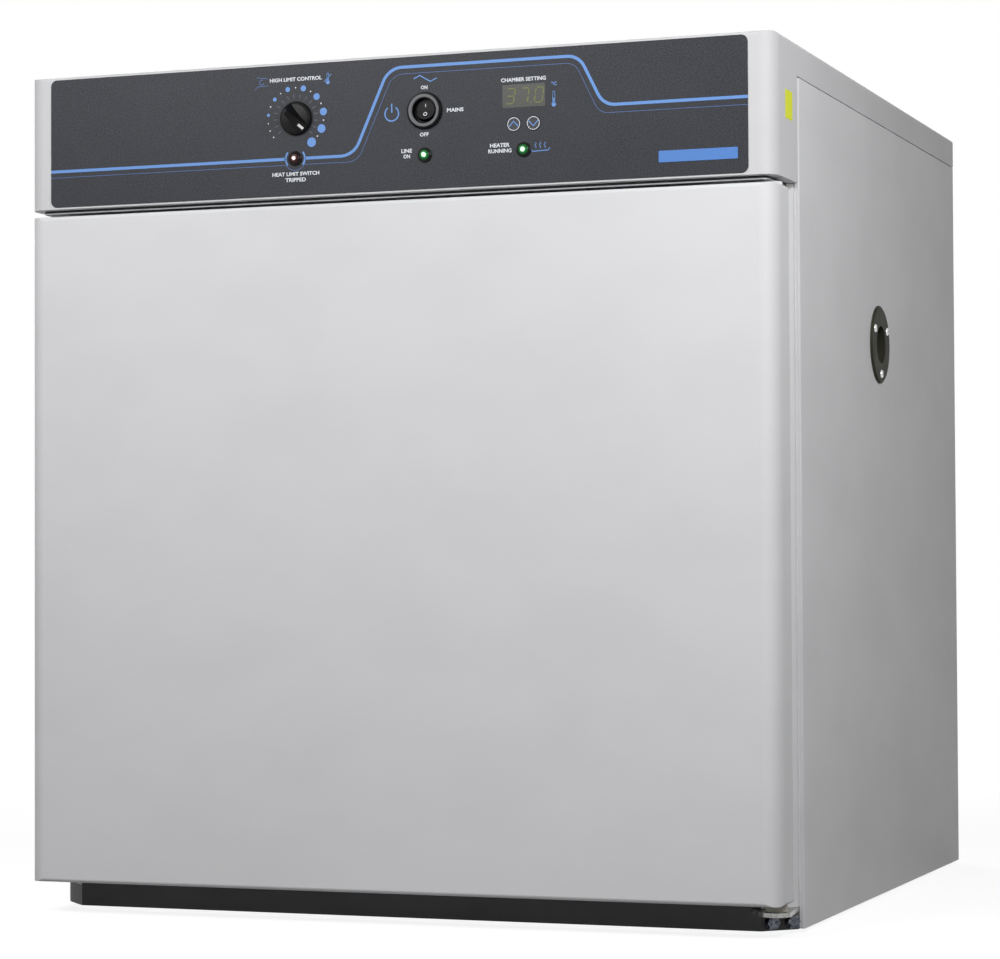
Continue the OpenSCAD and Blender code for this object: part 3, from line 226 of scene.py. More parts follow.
def printedBoard(name, light, dark, track):
    # glass-epoxy board under green solder mask, with the copper runs showing paler through it
    material, tree, place = startMaterial(name)
    runs = addNode(tree, "ShaderNodeTexBrick", {"offset": 0.37}, {
        "Vector": place, "Scale": 1000 / 9, "Mortar Size": 0.05, "Brick Width": 1.7, "Row Height": 0.4,
        "Color1": dark, "Color2": light, "Mortar": track})
    weave = addNode(tree, "ShaderNodeTexNoise", inputs={"Vector": place, "Scale": 1000 / 0.6, "Detail": 1})
    return endMaterial(material, addNode(tree, "ShaderNodeBsdfPrincipled", inputs={
        "Base Color": runs, "Coat Weight": 0.4,
        "Roughness": addNode(tree, "ShaderNodeMapRange", inputs=[weave, 0.3, 0.7, 0.25, 0.4]),
        "Normal": addNode(tree, "ShaderNodeBump", inputs={"Height": weave, "Distance": 0.01 * mm})}))


def litLens(name, middle, core, ring, edge, coreMm, glow):
    # clear tinted acrylic over a small lamp: bright at the middle, dark toward its rim
    material, tree, place = startMaterial(name)
    centred = addNode(tree, "ShaderNodeMapping", inputs={"Vector": place, "Location": [-v for v in middle]})
    flat = addNode(tree, "ShaderNodeVectorMath", {"operation": "MULTIPLY"}, [centred, (200, 0, 200)])
    distance = addNode(tree, "ShaderNodeVectorMath", {"operation": "LENGTH"}, [flat]).outputs["Value"]
    uneven = addNode(tree, "ShaderNodeTexNoise", inputs={"Vector": place, "Scale": 1000 / 1.8})
    wobble = addNode(tree, "ShaderNodeMapRange", inputs=[uneven, 0.3, 0.7, -0.06, 0.06])
    ratio = addNode(tree, "ShaderNodeMath", {"operation": "ADD"}, [distance, wobble])
    at = coreMm / 5  # the ratio is one at 5 mm
    return endMaterial(material, addNode(tree, "ShaderNodeBsdfPrincipled", inputs={
        "Base Color": addNode(tree, "ShaderNodeValToRGB", inputs=[ratio], stops=[
            (at, core), (at + 0.1, ring), (0.95, edge)]),
        "Emission Color": addNode(tree, "ShaderNodeValToRGB", inputs=[ratio], stops=[
            (at, core), (at + 0.12, ring), (at + 0.4, "#000000")]),
        "Roughness": addNode(tree, "ShaderNodeMapRange", inputs=[uneven, 0.3, 0.7, 0.12, 0.2]),
        "Emission Strength": glow, "IOR": 1.49, "Specular IOR Level": 0.2}))


paint = powderCoat("powder coated steel", "#E1E1E3", "#DEDEE0")
finishes = {
    "painted_sheet": paint,
    "dark_sheet": powderCoat("black textured powder coat", "#606061", "#575758", 1.2, 0.05, 0.6),
    "overlay": speckledFilm("printed polyester film", "#242529", "#1F2024", "#393D47"),
    "rubber": moulded("moulded rubber", "#232324", "#1C1C1D", 0.7, 1.2, 0.03, ior=1.52),
    "zinc_sheet": platedMetal("galvanised sheet", "#C3C6C9", "#A4A8AC", 9, 0.4),
    "stainless": brushedMetal("brushed stainless sheet", "#CDCCCA", "#BFBEBC"),
    "break_plastic": moulded("glass-filled thermal break", "#97999B", "#88898C", 0.6, 0.8, 0.02),
    "insulation": mineralWool("glass wool", "#D8C58A", "#A8925A"),
    "heater_sheath": platedMetal("oxidised heater sheath", "#565350", "#3A3836", 6, 0.5, 0.01),
    "thermostat_body": moulded("phenolic thermostat body", "#BFAF92", "#AB9B7F", 0.55),
    "copper": brushedMetal("drawn copper", "#C98A5E", "#A9683F", (1, 1, 0.1), 0.8, 0.32),
    "black_plastic": moulded("black moulded plastic", "#0C0C0D", "#080809", 0.34, gloss=0.15),
    "grey_rubber": moulded("grey silicone ring", "#76777A", "#6C6D70", 0.6, 0.9, 0.02, ior=1.42, gloss=0.3),
    # the knob's white pointer glows though it is no lamp: painted highlight that lifts it out of its shade
    "white_inlay": printedInk("white pad printing with painted glow", "#FDFDFB", "#F6F6F3", 0.12),
    "smoked_window": moulded("smoked acrylic window", "#464742", "#41423D", 0.25, 1.5, 0.002, gloss=0.3),
    "board": printedBoard("glass-epoxy board", "#245F36", "#1F5A31", "#3C8A4F"),
    "transformer_iron": laminatedIron("laminated iron", "#5C534B", "#2B2622"),
    "button_plastic": moulded("satin key plastic", "#3D3E43", "#38393D", 0.5, gloss=0.3),
    "polished_steel": brushedMetal("polished steel", "#DCDCDC", "#CFCFCF", (1, 1, 0.2), 0.7, 0.18, 0.003),
    "gasket": moulded("soft magnetic gasket", "#A3A5A9", "#96989C", 0.62, 1.0, 0.02, ior=1.52),
    "nylon": moulded("turned nylon", "#A9A699", "#9C998C", 0.45, 0.8, 0.01, ior=1.53),
    "zinc_plate": platedMetal("zinc plated steel plate", "#A8A8A6", "#8A8A87", 4, 0.3, 0.01, 0.8),
    "zinc_bolt": platedMetal("blackened zinc bolt", "#6A6D76", "#2B2D32", 1.8, 0.2, 0.012),
}
blueInk = printedInk("blue screen ink", "#6E9CDD", "#6491D3")
whiteInk = printedInk("white screen ink", "#E9ECF1", "#DADEE5")
tickInk = printedInk("faint grey screen ink", "#6B6E79", "#656873")
digitLight = printedInk("lit digit segments", "#6E783F", "#656E39", 0.05)
lineInk = printedInk("thin blue screen ink", "#5671A8", "#4F699F")
plateBlue = printedInk("plain blue vinyl plate", "#5888D0", "#4F7FC6")
stickerYellow = printedInk("plain yellow vinyl", "#EBF200", "#E3EA00", gloss=0.08)
# the port's polished steel flange and its tube get a dark colour with almost no gloss: painted dark
# reflection on the flange and painted shade down the bore
portPaintedDark = moulded("port fitting painted dark for reflection and shade", "#4A4A3F", "#3B3B32", 0.22, 0.9, 0.004, gloss=0.004)
ownFinish = {  # nodes whose finish isn't their slot's own
    # a darker copy of the same powder coat on the cover alone: painted shade that tones the cover down
    "top_cover": powderCoat("powder coated cover painted darker as shade", "#D3D3D5", "#D0D0D2"),
    "port_flange": portPaintedDark, "port_tube": portPaintedDark,
    # a lighter, less metallic copy of the zinc plate on the upper hinge bracket: painted highlight where it
    # sits in the dark gap under the cover
    "top_hinge_bracket": platedMetal("zinc plate lit up as painted highlight", "#EFEFEE", "#D8D9D9", 4, 0.4, 0.004, 0.25)}
for name, node in cadNodes.items():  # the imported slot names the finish
    for holder in node.material_slots:
        known = holder.material.name.split(".")[0] if holder.material else ""
        if name in ownFinish:
            holder.material = ownFinish[name]
        elif known in finishes:
            holder.material = finishes[known]
        elif known in ("red_lens", "green_lens"):  # the lamps, which get their domes further on
            holder.material = finishes["black_plastic"]
        else:
            print("no finish for", name, known)
print("finishes set")


# Small helpers for meshes: drawn in millimetres (across, up, out) and then set on the object

def facing(side, x=0.0, y=0.0, z=0.0):
    # turns a drawing toward one side of the object and brings it to metres
    across, upward, outward = {
        "front": ((1, 0, 0), (0, 0, 1), (0, -1, 0)), "right": ((0, 1, 0), (0, 0, 1), (1, 0, 0)),
        "back": ((-1, 0, 0), (0, 0, 1), (0, 1, 0)), "up": ((1, 0, 0), (0, 1, 0), (0, 0, 1))}[side]
    turn = Matrix((across, upward, outward)).transposed().to_4x4()
    return Matrix.Translation((x, y, z)) @ turn @ Matrix.Scale(mm, 4)


def setPiece(name, drawn, place, body, material, replaced=(), smooth=None):
    # cleans a drawing, makes it an object, hangs it on its body's empty and hides the nodes it replaces
    weldMm = 0.0005
    bmesh.ops.remove_doubles(drawn, verts=drawn.verts, dist=weldMm)
    bmesh.ops.recalc_face_normals(drawn, faces=drawn.faces)
    drawn.transform(place)
    mesh = bpy.data.meshes.new(name)
    drawn.to_mesh(mesh)
    drawn.free()
    if smooth:
        mesh.shade_smooth()
        mesh.set_sharp_from_angle(angle=math.radians(smooth))
    mesh.materials.append(material)
    piece = bpy.data.objects.new(name, mesh)
    bpy.context.collection.objects.link(piece)
    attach(piece, body)
    if replaced:
        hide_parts(*replaced)


def slab(drawn, outline, low, high):
    # a flat plate with the outline's shape
    bottom = [drawn.verts.new((u, v, low)) for u, v in outline]
    top = [drawn.verts.new((u, v, high)) for u, v in outline]
    drawn.faces.new(top)
    drawn.faces.new(bottom[::-1])
    for i in range(len(outline)):
        j = (i + 1) % len(outline)
        drawn.faces.new((bottom[i], bottom[j], top[j], top[i]))


def arc(u, v, radius, start, end, steps):
    # points round a centre, with angles in degrees
    angles = [math.radians(start + (end - start) * i / steps) for i in range(steps + 1)]
    return [(u + radius * math.cos(a), v + radius * math.sin(a)) for a in angles]


def ribbon(drawn, path, width, low, high, closed=False):
    # a line of even width along a path
    rows = []
    count = len(path)
    for i, point in enumerate(path):
        before = path[i - 1] if i or closed else point
        after = path[(i + 1) % count] if i + 1 < count or closed else point
        ahead = (Vector(after) - Vector(before)).normalized()
        side = Vector((-ahead.y, ahead.x)) * width / 2
        rows.append([drawn.verts.new((*(Vector(point) + way * side), w))
                     for w in (low, high) for way in (1, -1)])
    for i in range(count if closed else count - 1):
        here, there = rows[i], rows[(i + 1) % count]
        for first, second in ((0, 1), (1, 3), (3, 2), (2, 0)):
            drawn.faces.new((here[first], here[second], there[second], there[first]))
    if not closed:
        for row in (rows[0], rows[-1]):
            drawn.faces.new((row[0], row[1], row[3], row[2]))


def roundedPath(points, radii, steps=8):
    # a path with each corner turned on its radius
    path = [points[0]]
    for before, corner, after, radius in zip(points, points[1:], points[2:], radii):
        bend = Vector(corner)
        back = (Vector(before) - bend).normalized()
        on = (Vector(after) - bend).normalized()
        half = back.angle(on) / 2
        reach = radius / math.tan(half)
        middle = bend + (back + on).normalized() * radius / math.sin(half)
        start = bend + back * reach - middle
        end = bend + on * reach - middle
        turn = math.atan2(start.x * end.y - start.y * end.x, start.dot(end))
        for i in range(steps + 1):
            cosine, sine = math.cos(turn * i / steps), math.sin(turn * i / steps)
            path.append(tuple(middle + Vector((start.x * cosine - start.y * sine,
                                               start.x * sine + start.y * cosine))))
    return path + [points[-1]]


def turned(drawn, profile, u=0.0, v=0.0, steps=48):
    # a round shape from (radius, height) pairs, closed where the radius is nought
    rings = []
    for radius, height in profile:
        if radius < 1e-6:
            rings.append([drawn.verts.new((u, v, height))])
        else:
            rings.append([drawn.verts.new((u + radius * math.cos(2 * math.pi * i / steps),
                                           v + radius * math.sin(2 * math.pi * i / steps), height))
                          for i in range(steps)])
    for lower, upper in zip(rings, rings[1:]):
        for i in range(steps):
            j = (i + 1) % steps
            face = [lower[i % len(lower)], lower[j % len(lower)],
                    upper[j % len(upper)], upper[i % len(upper)]]
            corners = list(dict.fromkeys(face))
            if len(corners) > 2:
                drawn.faces.new(corners)


def letters(drawn, words, u, v, height, width, low, high, weight=0.028):
    # sign lettering from the built-in face, made to the printed size
    curve = bpy.data.curves.new("lettering", "FONT")
    curve.body = words
    curve.offset = weight
    curve.extrude = 0.5
    curve.resolution_u = 3
    holder = bpy.data.objects.new("lettering", curve)
    bpy.context.collection.objects.link(holder)
    bpy.context.view_layer.update()
    mesh = bpy.data.meshes.new_from_object(holder.evaluated_get(bpy.context.evaluated_depsgraph_get()))
    us = [p.co.x for p in mesh.vertices]
    vs = [p.co.y for p in mesh.vertices]
    size = Matrix.Diagonal((width / (max(us) - min(us)), height / (max(vs) - min(vs)), high - low, 1))
    middle = Vector((-(max(us) + min(us)) / 2, -(max(vs) + min(vs)) / 2, 0.5))
    mesh.transform(Matrix.Translation((u, v, low)) @ size @ Matrix.Translation(middle))
    drawn.from_mesh(mesh)
    bpy.data.meshes.remove(mesh)
    bpy.data.objects.remove(holder)
    bpy.data.curves.remove(curve)


# Repeated pieces, each from a Geometry Nodes tree with named inputs

def startTree(name, sockets):
    tree = bpy.data.node_groups.new(name, "GeometryNodeTree")
    tree.interface.new_socket(name="Geometry", in_out="OUTPUT", socket_type="NodeSocketGeometry")
    tree.interface.new_socket(name="Geometry", in_out="INPUT", socket_type="NodeSocketGeometry")
    for socket, kind in sockets.items():
        tree.interface.new_socket(name=socket, in_out="INPUT", socket_type="NodeSocket" + kind)
    return tree, addNode(tree, "NodeGroupInput").outputs


def endTree(tree, geometry, material):
    real = addNode(tree, "GeometryNodeRealizeInstances", inputs=[geometry])
    dressed = addNode(tree, "GeometryNodeSetMaterial", inputs={"Geometry": real, "Material": material})
    addNode(tree, "NodeGroupOutput", inputs=[dressed])


def growMesh(tree, points, edges, values):
    # runs the tree once on a few points or edges and hands back the plain mesh
    mesh = bpy.data.meshes.new("seed")
    mesh.from_pydata(points, edges, [])
    holder = bpy.data.objects.new("seed", mesh)
    bpy.context.collection.objects.link(holder)
    modifier = holder.modifiers.new("grow", "NODES")
    modifier.node_group = tree
    for item in tree.interface.items_tree:
        if item.in_out == "INPUT" and item.name in values:
            modifier[item.identifier] = values[item.name]
    bpy.context.view_layer.update()
    grown = bpy.data.meshes.new_from_object(holder.evaluated_get(bpy.context.evaluated_depsgraph_get()))
    holder.modifiers.remove(modifier)
    bpy.data.objects.remove(holder)
    return grown


def setGrown(name, mesh, place, body, material, replaced=(), smooth=None):
    drawn = bmesh.new()
    drawn.from_mesh(mesh)
    bpy.data.meshes.remove(mesh)
    setPiece(name, drawn, place, body, material, replaced, smooth)


def screwTree(material):
    # pan head with a cross recess, set on every point: a block takes the ball's lower half, two bars cut
    # the cross, and the shank ends just inside the head
    tree, given = startTree("panHeadScrews", {
        "Head Radius": "Float", "Head Height": "Float", "Shank Radius": "Float", "Shank Length": "Float"})
    times = {"operation": "MULTIPLY"}
    across, tall = given["Head Radius"], given["Head Height"]
    ball = addNode(tree, "GeometryNodeMeshUVSphere", inputs={"Segments": 40, "Rings": 20, "Radius": 1.0})
    bulge = addNode(tree, "ShaderNodeCombineXYZ", inputs=[
        across, across, addNode(tree, "ShaderNodeMath", times, [tall, 1.02])])
    dome = addNode(tree, "GeometryNodeTransform", inputs={"Geometry": ball, "Scale": bulge})
    block = addNode(tree, "GeometryNodeMeshCube", inputs={"Size": (20, 20, 10)})
    under = addNode(tree, "GeometryNodeTransform", inputs={"Geometry": block, "Translation": (0, 0, -5)})
    cut = addNode(tree, "GeometryNodeMeshBoolean", {"operation": "DIFFERENCE"}, {0: dome})
    tree.links.new(under.outputs[0], cut.inputs[1])
    recess = {"long": 1.15, "wide": 0.24, "deep": 1.3, "up": 1.05, "turn": 0.35}  # of the head's sizes
    armSize = addNode(tree, "ShaderNodeCombineXYZ", inputs=[
        addNode(tree, "ShaderNodeMath", times, [across, recess["long"]]),
        addNode(tree, "ShaderNodeMath", times, [across, recess["wide"]]),
        addNode(tree, "ShaderNodeMath", times, [tall, recess["deep"]])])
    arm = addNode(tree, "GeometryNodeMeshCube", inputs={"Size": armSize})
    lift = addNode(tree, "ShaderNodeCombineXYZ", inputs={
        2: addNode(tree, "ShaderNodeMath", times, [tall, recess["up"]])})
    for turn in (recess["turn"], recess["turn"] + math.pi / 2):
        bar = addNode(tree, "GeometryNodeTransform", inputs={
            "Geometry": arm, "Translation": lift, "Rotation": (0, 0, turn)})
        tree.links.new(bar.outputs[0], cut.inputs[1])
    shank = addNode(tree, "GeometryNodeMeshCylinder", inputs={
        "Vertices": 24, "Radius": given["Shank Radius"], "Depth": given["Shank Length"]})
    sink = addNode(tree, "ShaderNodeCombineXYZ", inputs={
        2: addNode(tree, "ShaderNodeMath", times, [given["Shank Length"], -0.49])})
    sunk = addNode(tree, "GeometryNodeTransform", inputs={"Geometry": shank, "Translation": sink})
    screw = addNode(tree, "GeometryNodeJoinGeometry")
    for part in (cut, sunk):
        tree.links.new(part.outputs[0], screw.inputs[0])
    spun = addNode(tree, "FunctionNodeRandomValue", {"data_type": "FLOAT_VECTOR"}, {
        0: (0, 0, 0), 1: (0, 0, 3), "Seed": 7})
    placed = addNode(tree, "GeometryNodeInstanceOnPoints", inputs={
        "Points": given["Geometry"], "Instance": screw, "Rotation": spun})
    endTree(tree, placed, material)
    return tree


def dialTree(material):
    # discs or ticks along an arc, growing from one to the next
    tree, given = startTree("dialMarks", {
        "Count": "Int", "Radius": "Float", "First Angle": "Float", "Angle Step": "Float",
        "First Size": "Float", "Size Step": "Float", "Flatness": "Float", "Corners": "Int"})
    times = {"operation": "MULTIPLY"}
    line = addNode(tree, "GeometryNodeMeshLine", inputs={"Count": given["Count"], "Offset": (1, 0, 0)})
    index = addNode(tree, "GeometryNodeInputIndex")
    turn = addNode(tree, "ShaderNodeMath", times, [index, given["Angle Step"]])
    angle = addNode(tree, "ShaderNodeMath", {"operation": "ADD"}, [given["First Angle"], turn])
    across = addNode(tree, "ShaderNodeMath", times, [
        addNode(tree, "ShaderNodeMath", {"operation": "COSINE"}, [angle]), given["Radius"]])
    upward = addNode(tree, "ShaderNodeMath", times, [
        addNode(tree, "ShaderNodeMath", {"operation": "SINE"}, [angle]), given["Radius"]])
    spot = addNode(tree, "ShaderNodeCombineXYZ", inputs=[across, upward])
    bent = addNode(tree, "GeometryNodeSetPosition", inputs={"Geometry": line, "Position": spot})
    growth = addNode(tree, "ShaderNodeMath", times, [index, given["Size Step"]])
    size = addNode(tree, "ShaderNodeMath", {"operation": "ADD"}, [given["First Size"], growth])
    narrow = addNode(tree, "ShaderNodeMath", times, [size, given["Flatness"]])
    scale = addNode(tree, "ShaderNodeCombineXYZ", inputs=[size, narrow, 1.0])
    inkDepth = 0.11
    disc = addNode(tree, "GeometryNodeMeshCylinder", inputs={
        "Vertices": given["Corners"], "Radius": 0.5, "Depth": inkDepth})
    facingOut = addNode(tree, "ShaderNodeCombineXYZ", inputs={2: angle})
    placed = addNode(tree, "GeometryNodeInstanceOnPoints", inputs={
        "Points": bent, "Instance": disc, "Rotation": facingOut, "Scale": scale})
    endTree(tree, placed, material)
    return tree


def gasketTree(material):
    # a soft hollow section swept round a closed path: squared sides with shallow grooves along them
    tree, given = startTree("gasketSweep", {"Section Width": "Float", "Section Height": "Float"})
    times = {"operation": "MULTIPLY"}
    fold = {"grooves": 6.0, "depth": 0.09, "mean": 0.91, "squareness": 0.45}
    path = addNode(tree, "GeometryNodeMeshToCurve", inputs={"Mesh": given["Geometry"]})
    upright = addNode(tree, "GeometryNodeSetCurveNormal", {"mode": "Z_UP"}, {"Curve": path})
    section = addNode(tree, "GeometryNodeCurvePrimitiveCircle", inputs={"Resolution": 48, "Radius": 1.0})
    place = addNode(tree, "ShaderNodeSeparateXYZ", inputs=[addNode(tree, "GeometryNodeInputPosition")])
    around = addNode(tree, "ShaderNodeMath", {"operation": "ARCTAN2"}, [place.outputs[1], place.outputs[0]])
    waves = addNode(tree, "ShaderNodeMath", {"operation": "COSINE"}, [
        addNode(tree, "ShaderNodeMath", times, [around, fold["grooves"]])])
    swell = addNode(tree, "ShaderNodeMath", {"operation": "MULTIPLY_ADD"}, [
        waves, fold["depth"], fold["mean"]])
    squared = []
    for axis, wide in ((0, given["Section Width"]), (1, given["Section Height"])):
        size = addNode(tree, "ShaderNodeMath", {"operation": "ABSOLUTE"}, [place.outputs[axis]])
        flat = addNode(tree, "ShaderNodeMath", {"operation": "POWER"}, [size, fold["squareness"]])
        sign = addNode(tree, "ShaderNodeMath", {"operation": "SIGN"}, [place.outputs[axis]])
        signed = addNode(tree, "ShaderNodeMath", times, [flat, sign])
        swollen = addNode(tree, "ShaderNodeMath", times, [signed, swell])
        halved = addNode(tree, "ShaderNodeMath", times, [wide, 0.5])
        squared.append(addNode(tree, "ShaderNodeMath", times, [swollen, halved]))
    shaped = addNode(tree, "ShaderNodeCombineXYZ", inputs=squared)
    profile = addNode(tree, "GeometryNodeSetPosition", inputs={"Geometry": section, "Position": shaped})
    swept = addNode(tree, "GeometryNodeCurveToMesh", inputs={"Curve": upright, "Profile Curve": profile})
    endTree(tree, swept, material)
    return tree


# Camera and light

view = {  # the fit to the photograph: millimetres and degrees
    "place": (945.4, -2615.8, 293.0), "turn": 20.30, "tilt": 1.641, "roll": -0.259, "lens": 109.109,
    "sensor": 36, "nearClip": 0.05}
yaw, pitch, roll = (math.radians(view[k]) for k in ("turn", "tilt", "roll"))
ahead = Vector((-math.sin(yaw) * math.cos(pitch), math.cos(yaw) * math.cos(pitch), math.sin(pitch)))
rightward = Vector((math.cos(yaw), math.sin(yaw), 0))
upward = rightward.cross(ahead)
rolledRight = rightward * math.cos(roll) + upward * math.sin(roll)
rolledUp = upward * math.cos(roll) - rightward * math.sin(roll)
cameraData = bpy.data.cameras.new("camera")
cameraData.sensor_fit = "HORIZONTAL"
cameraData.sensor_width = view["sensor"]
cameraData.lens = view["lens"]
cameraData.clip_start = view["nearClip"]
camera = bpy.data.objects.new("camera", cameraData)
camera.matrix_world = Matrix.Translation(Vector(view["place"]) * mm) @ Matrix(
    (rolledRight, rolledUp, -ahead)).transposed().to_4x4()
bpy.context.collection.objects.link(camera)
bpy.context.scene.camera = camera
bpy.context.scene.view_settings.view_transform = "Standard"

softBoxes = {  # place, point it faces, size in metres and power in watts
    "leftBox": {
        "place": (-0.5, -1.35, 1.15), "target": (0.0, -0.33, 0.45), "size": (1.0, 0.6), "power": 11.6},
    "rightBox": {
        "place": (1.0, -0.8, 1.0), "target": (0.33, -0.2, 0.5), "size": (0.4, 0.4), "power": 5.4},
    "nearBox": {
        "place": (0.85, -1.25, 0.95), "target": (0.33, -0.28, 0.5), "size": (0.4, 0.4), "power": 3.9},
    "rearBox": {
        "place": (-1.3, 2.2, 1.9), "target": (-0.1, 0.3, 0.4), "size": (1.6, 1.0), "power": 26},
}
for name, box in softBoxes.items():
    lamp = bpy.data.lights.new(name, "AREA")
    lamp.shape = "RECTANGLE"
    lamp.size, lamp.size_y = box["size"]
    lamp.energy = box["power"]
    lampObject = bpy.data.objects.new(name, lamp)
    aim = (Vector(box["target"]) - Vector(box["place"])).to_track_quat("-Z", "Y")
    lampObject.matrix_world = Matrix.Translation(box["place"]) @ aim.to_matrix().to_4x4()
    bpy.context.collection.objects.link(lampObject)


def seenDirectly(tree):
    # one for rays straight from the camera, off a gloss or through glass
    path = addNode(tree, "ShaderNodeLightPath")
    most = addNode(tree, "ShaderNodeMath", {"operation": "MAXIMUM"}, [
        path.outputs["Is Camera Ray"], path.outputs["Is Glossy Ray"]])
    return addNode(tree, "ShaderNodeMath", {"operation": "MAXIMUM"}, [
        most, path.outputs["Is Transmission Ray"]])


studio = {  # lengths in metres; the floor turns plain white beyond the shadow
    "fill": 0.1, "floorSize": 12.0, "floorDrop": 0.0002, "fadeFrom": 0.65, "fadeTo": 1.3,
    "floorBounce": "#8C8C8C", "glow": 0.84, "shadow": "#959595"}
world = bpy.data.worlds.new("studio")
world.use_nodes = True
tree = world.node_tree
tree.nodes.clear()
level = addNode(tree, "ShaderNodeMapRange", inputs=[seenDirectly(tree), 0, 1, studio["fill"], 1.0])
backdrop = addNode(tree, "ShaderNodeBackground", inputs={"Color": "#FFFFFF", "Strength": level})
addNode(tree, "ShaderNodeOutputWorld", inputs=[backdrop])
bpy.context.scene.world = world

floorMesh = bpy.data.meshes.new("floor")
half = studio["floorSize"] / 2
floorMesh.from_pydata([(u * half, v * half, -studio["floorDrop"])
                       for u, v in ((-1, -1), (1, -1), (1, 1), (-1, 1))], [], [(0, 1, 2, 3)])
floor = bpy.data.objects.new("floor", floorMesh)
bpy.context.collection.objects.link(floor)
material, tree, place = startMaterial("pale studio floor")
away = addNode(tree, "ShaderNodeVectorMath", {"operation": "LENGTH"}, [place]).outputs["Value"]
faraway = addNode(tree, "ShaderNodeMapRange", inputs=[away, studio["fadeFrom"], studio["fadeTo"], 0.0, 1.0])
bright = addNode(tree, "ShaderNodeEmission", inputs={"Color": "#FFFFFF", "Strength": 1.0})
glow = addNode(tree, "ShaderNodeEmission", inputs={"Color": "#FFFFFF", "Strength": studio["glow"]})
matt = addNode(tree, "ShaderNodeBsdfDiffuse", inputs={"Color": studio["shadow"]})
dull = addNode(tree, "ShaderNodeBsdfDiffuse", inputs={"Color": studio["floorBounce"]})
shaded = addNode(tree, "ShaderNodeAddShader", inputs=[glow, matt])
shown = addNode(tree, "ShaderNodeMixShader", inputs=[faraway, shaded, bright])
endMaterial(material, addNode(tree, "ShaderNodeMixShader", inputs=[seenDirectly(tree), dull, shown]))
floorMesh.materials.append(material)
floor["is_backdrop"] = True
print("camera, light and floor set")


# Printing on the control overlay, drawn in the object's own millimetres

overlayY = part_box("control_overlay")[0][1]
onPanel = facing("front", y=overlayY)
ink = {"low": -0.05, "high": 0.06}  # from just inside the sheet to just over its face
knobAt, alarmAt = (-79.4, 664.9), (-80, 631.2)
stripe = {
    "wide": 2.5, "thin": 0.45, "corners": (18, 18, 16, 16), "inner": (14, 14, 12, 12),
    "top": [(-308, 631.1), (-27.4, 631.1), (3.8, 701.3), (168.3, 701.3), (188.8, 660.4), (308, 660.4)],
    "under": [(-308, 625.9), (-23.8, 625.9), (7.4, 695.7), (164.9, 695.7), (185.4, 654.1), (308, 654.1)],
    "gap": 8.6, "bracket": 1.5, "sweep": 76, "dip": 9.8,  # where it opens round the alarm lamp
}
thinMarks = [  # points and line width: a small tray and its heat, over the dial
    ([(-116.4, 690.6), (-113.9, 692.8), (-104.6, 693.2)], 0.5), ([(-115.0, 700.4), (-104.9, 699.0)], 0.5),
    (arc(-110.2, 696.3, 2.1, 60, 330, 12), 0.6),
]
blueMarks = [  # points and line width
    ([(25.9, 691.1), (31.2, 693.6), (40.4, 688.2), (46.1, 690.7)], 0.9),  # trace over the switch
    ([(-53.8, 693.6), (-47.4, 699.6)], 0.6),  # stroke through the thermometer
    ([(127.0, 628.6), (128.4, 626.4), (142, 626.9), (143.4, 629.0)], 0.7),  # tray by the heating lamp
    (arc(6.4, 663.6, 6.0, 125, 415, 30), 1.1), ([(6.4, 664.5), (6.4, 671.8)], 1.1),  # plain power mark
]
wave = {"left": 131.2, "apart": 3.9, "low": 628.8, "rise": 0.8, "sway": 0.55, "turn": 1.57, "line": 0.5}
glass = {"tube": 0.9, "line": 0.4, "bulb": 1.9, "drop": 1.2, "filled": 0.45}
capHeight = 3.2
labels = [  # words, middle and width
    ("HIGH LIMIT CONTROL", -79.4, 697.2, 47.0), ("HEAT LIMIT SWITCH", -79.6, 618.5, 42.5),
    ("TRIPPED", -79.7, 613.6, 18.5), ("ON", 35.1, 683.6, 5.8), ("OFF", 35, 645.1, 7.8),
    ("MAINS", 62.1, 663.8, 14.4), ("LINE", 19.5, 632.4, 9.4), ("ON", 19.5, 627.9, 5.8),
    ("CHAMBER SETTING", 121, 685.2, 38.5), ("HEATER", 100.6, 632.8, 17.0), ("RUNNING", 100.6, 628.2, 20.0),
]


def dot(drawn, radius, u, v, steps):
    turned(drawn, [(0, ink["low"]), (radius, ink["low"]), (radius, ink["high"]), (0, ink["high"])],
           u, v, steps)


def thermometer(drawn, u, v, tall, scale=1.0):
    # an open tube over a filled bulb
    tube = glass["tube"] * scale
    ribbon(drawn, [(u - tube, v)] + arc(u, v + tall, tube, 180, 0, 8) + [(u + tube, v)],
           glass["line"] * scale, **ink)
    dot(drawn, glass["bulb"] * scale, u, v - glass["drop"], 20)
    ribbon(drawn, [(u, v), (u, v + tall * glass["filled"])], tube, **ink)


thin = bmesh.new()
dip = arc(*alarmAt, stripe["dip"], 212, 328, 18)
ribbon(thin, stripe["under"][:1] + dip + roundedPath(stripe["under"], stripe["inner"])[1:],
       stripe["thin"], **ink)
for points, line in thinMarks:
    ribbon(thin, points, line, **ink)
setPiece("overlayThinLine", thin, onPanel, "cabinet", lineInk)

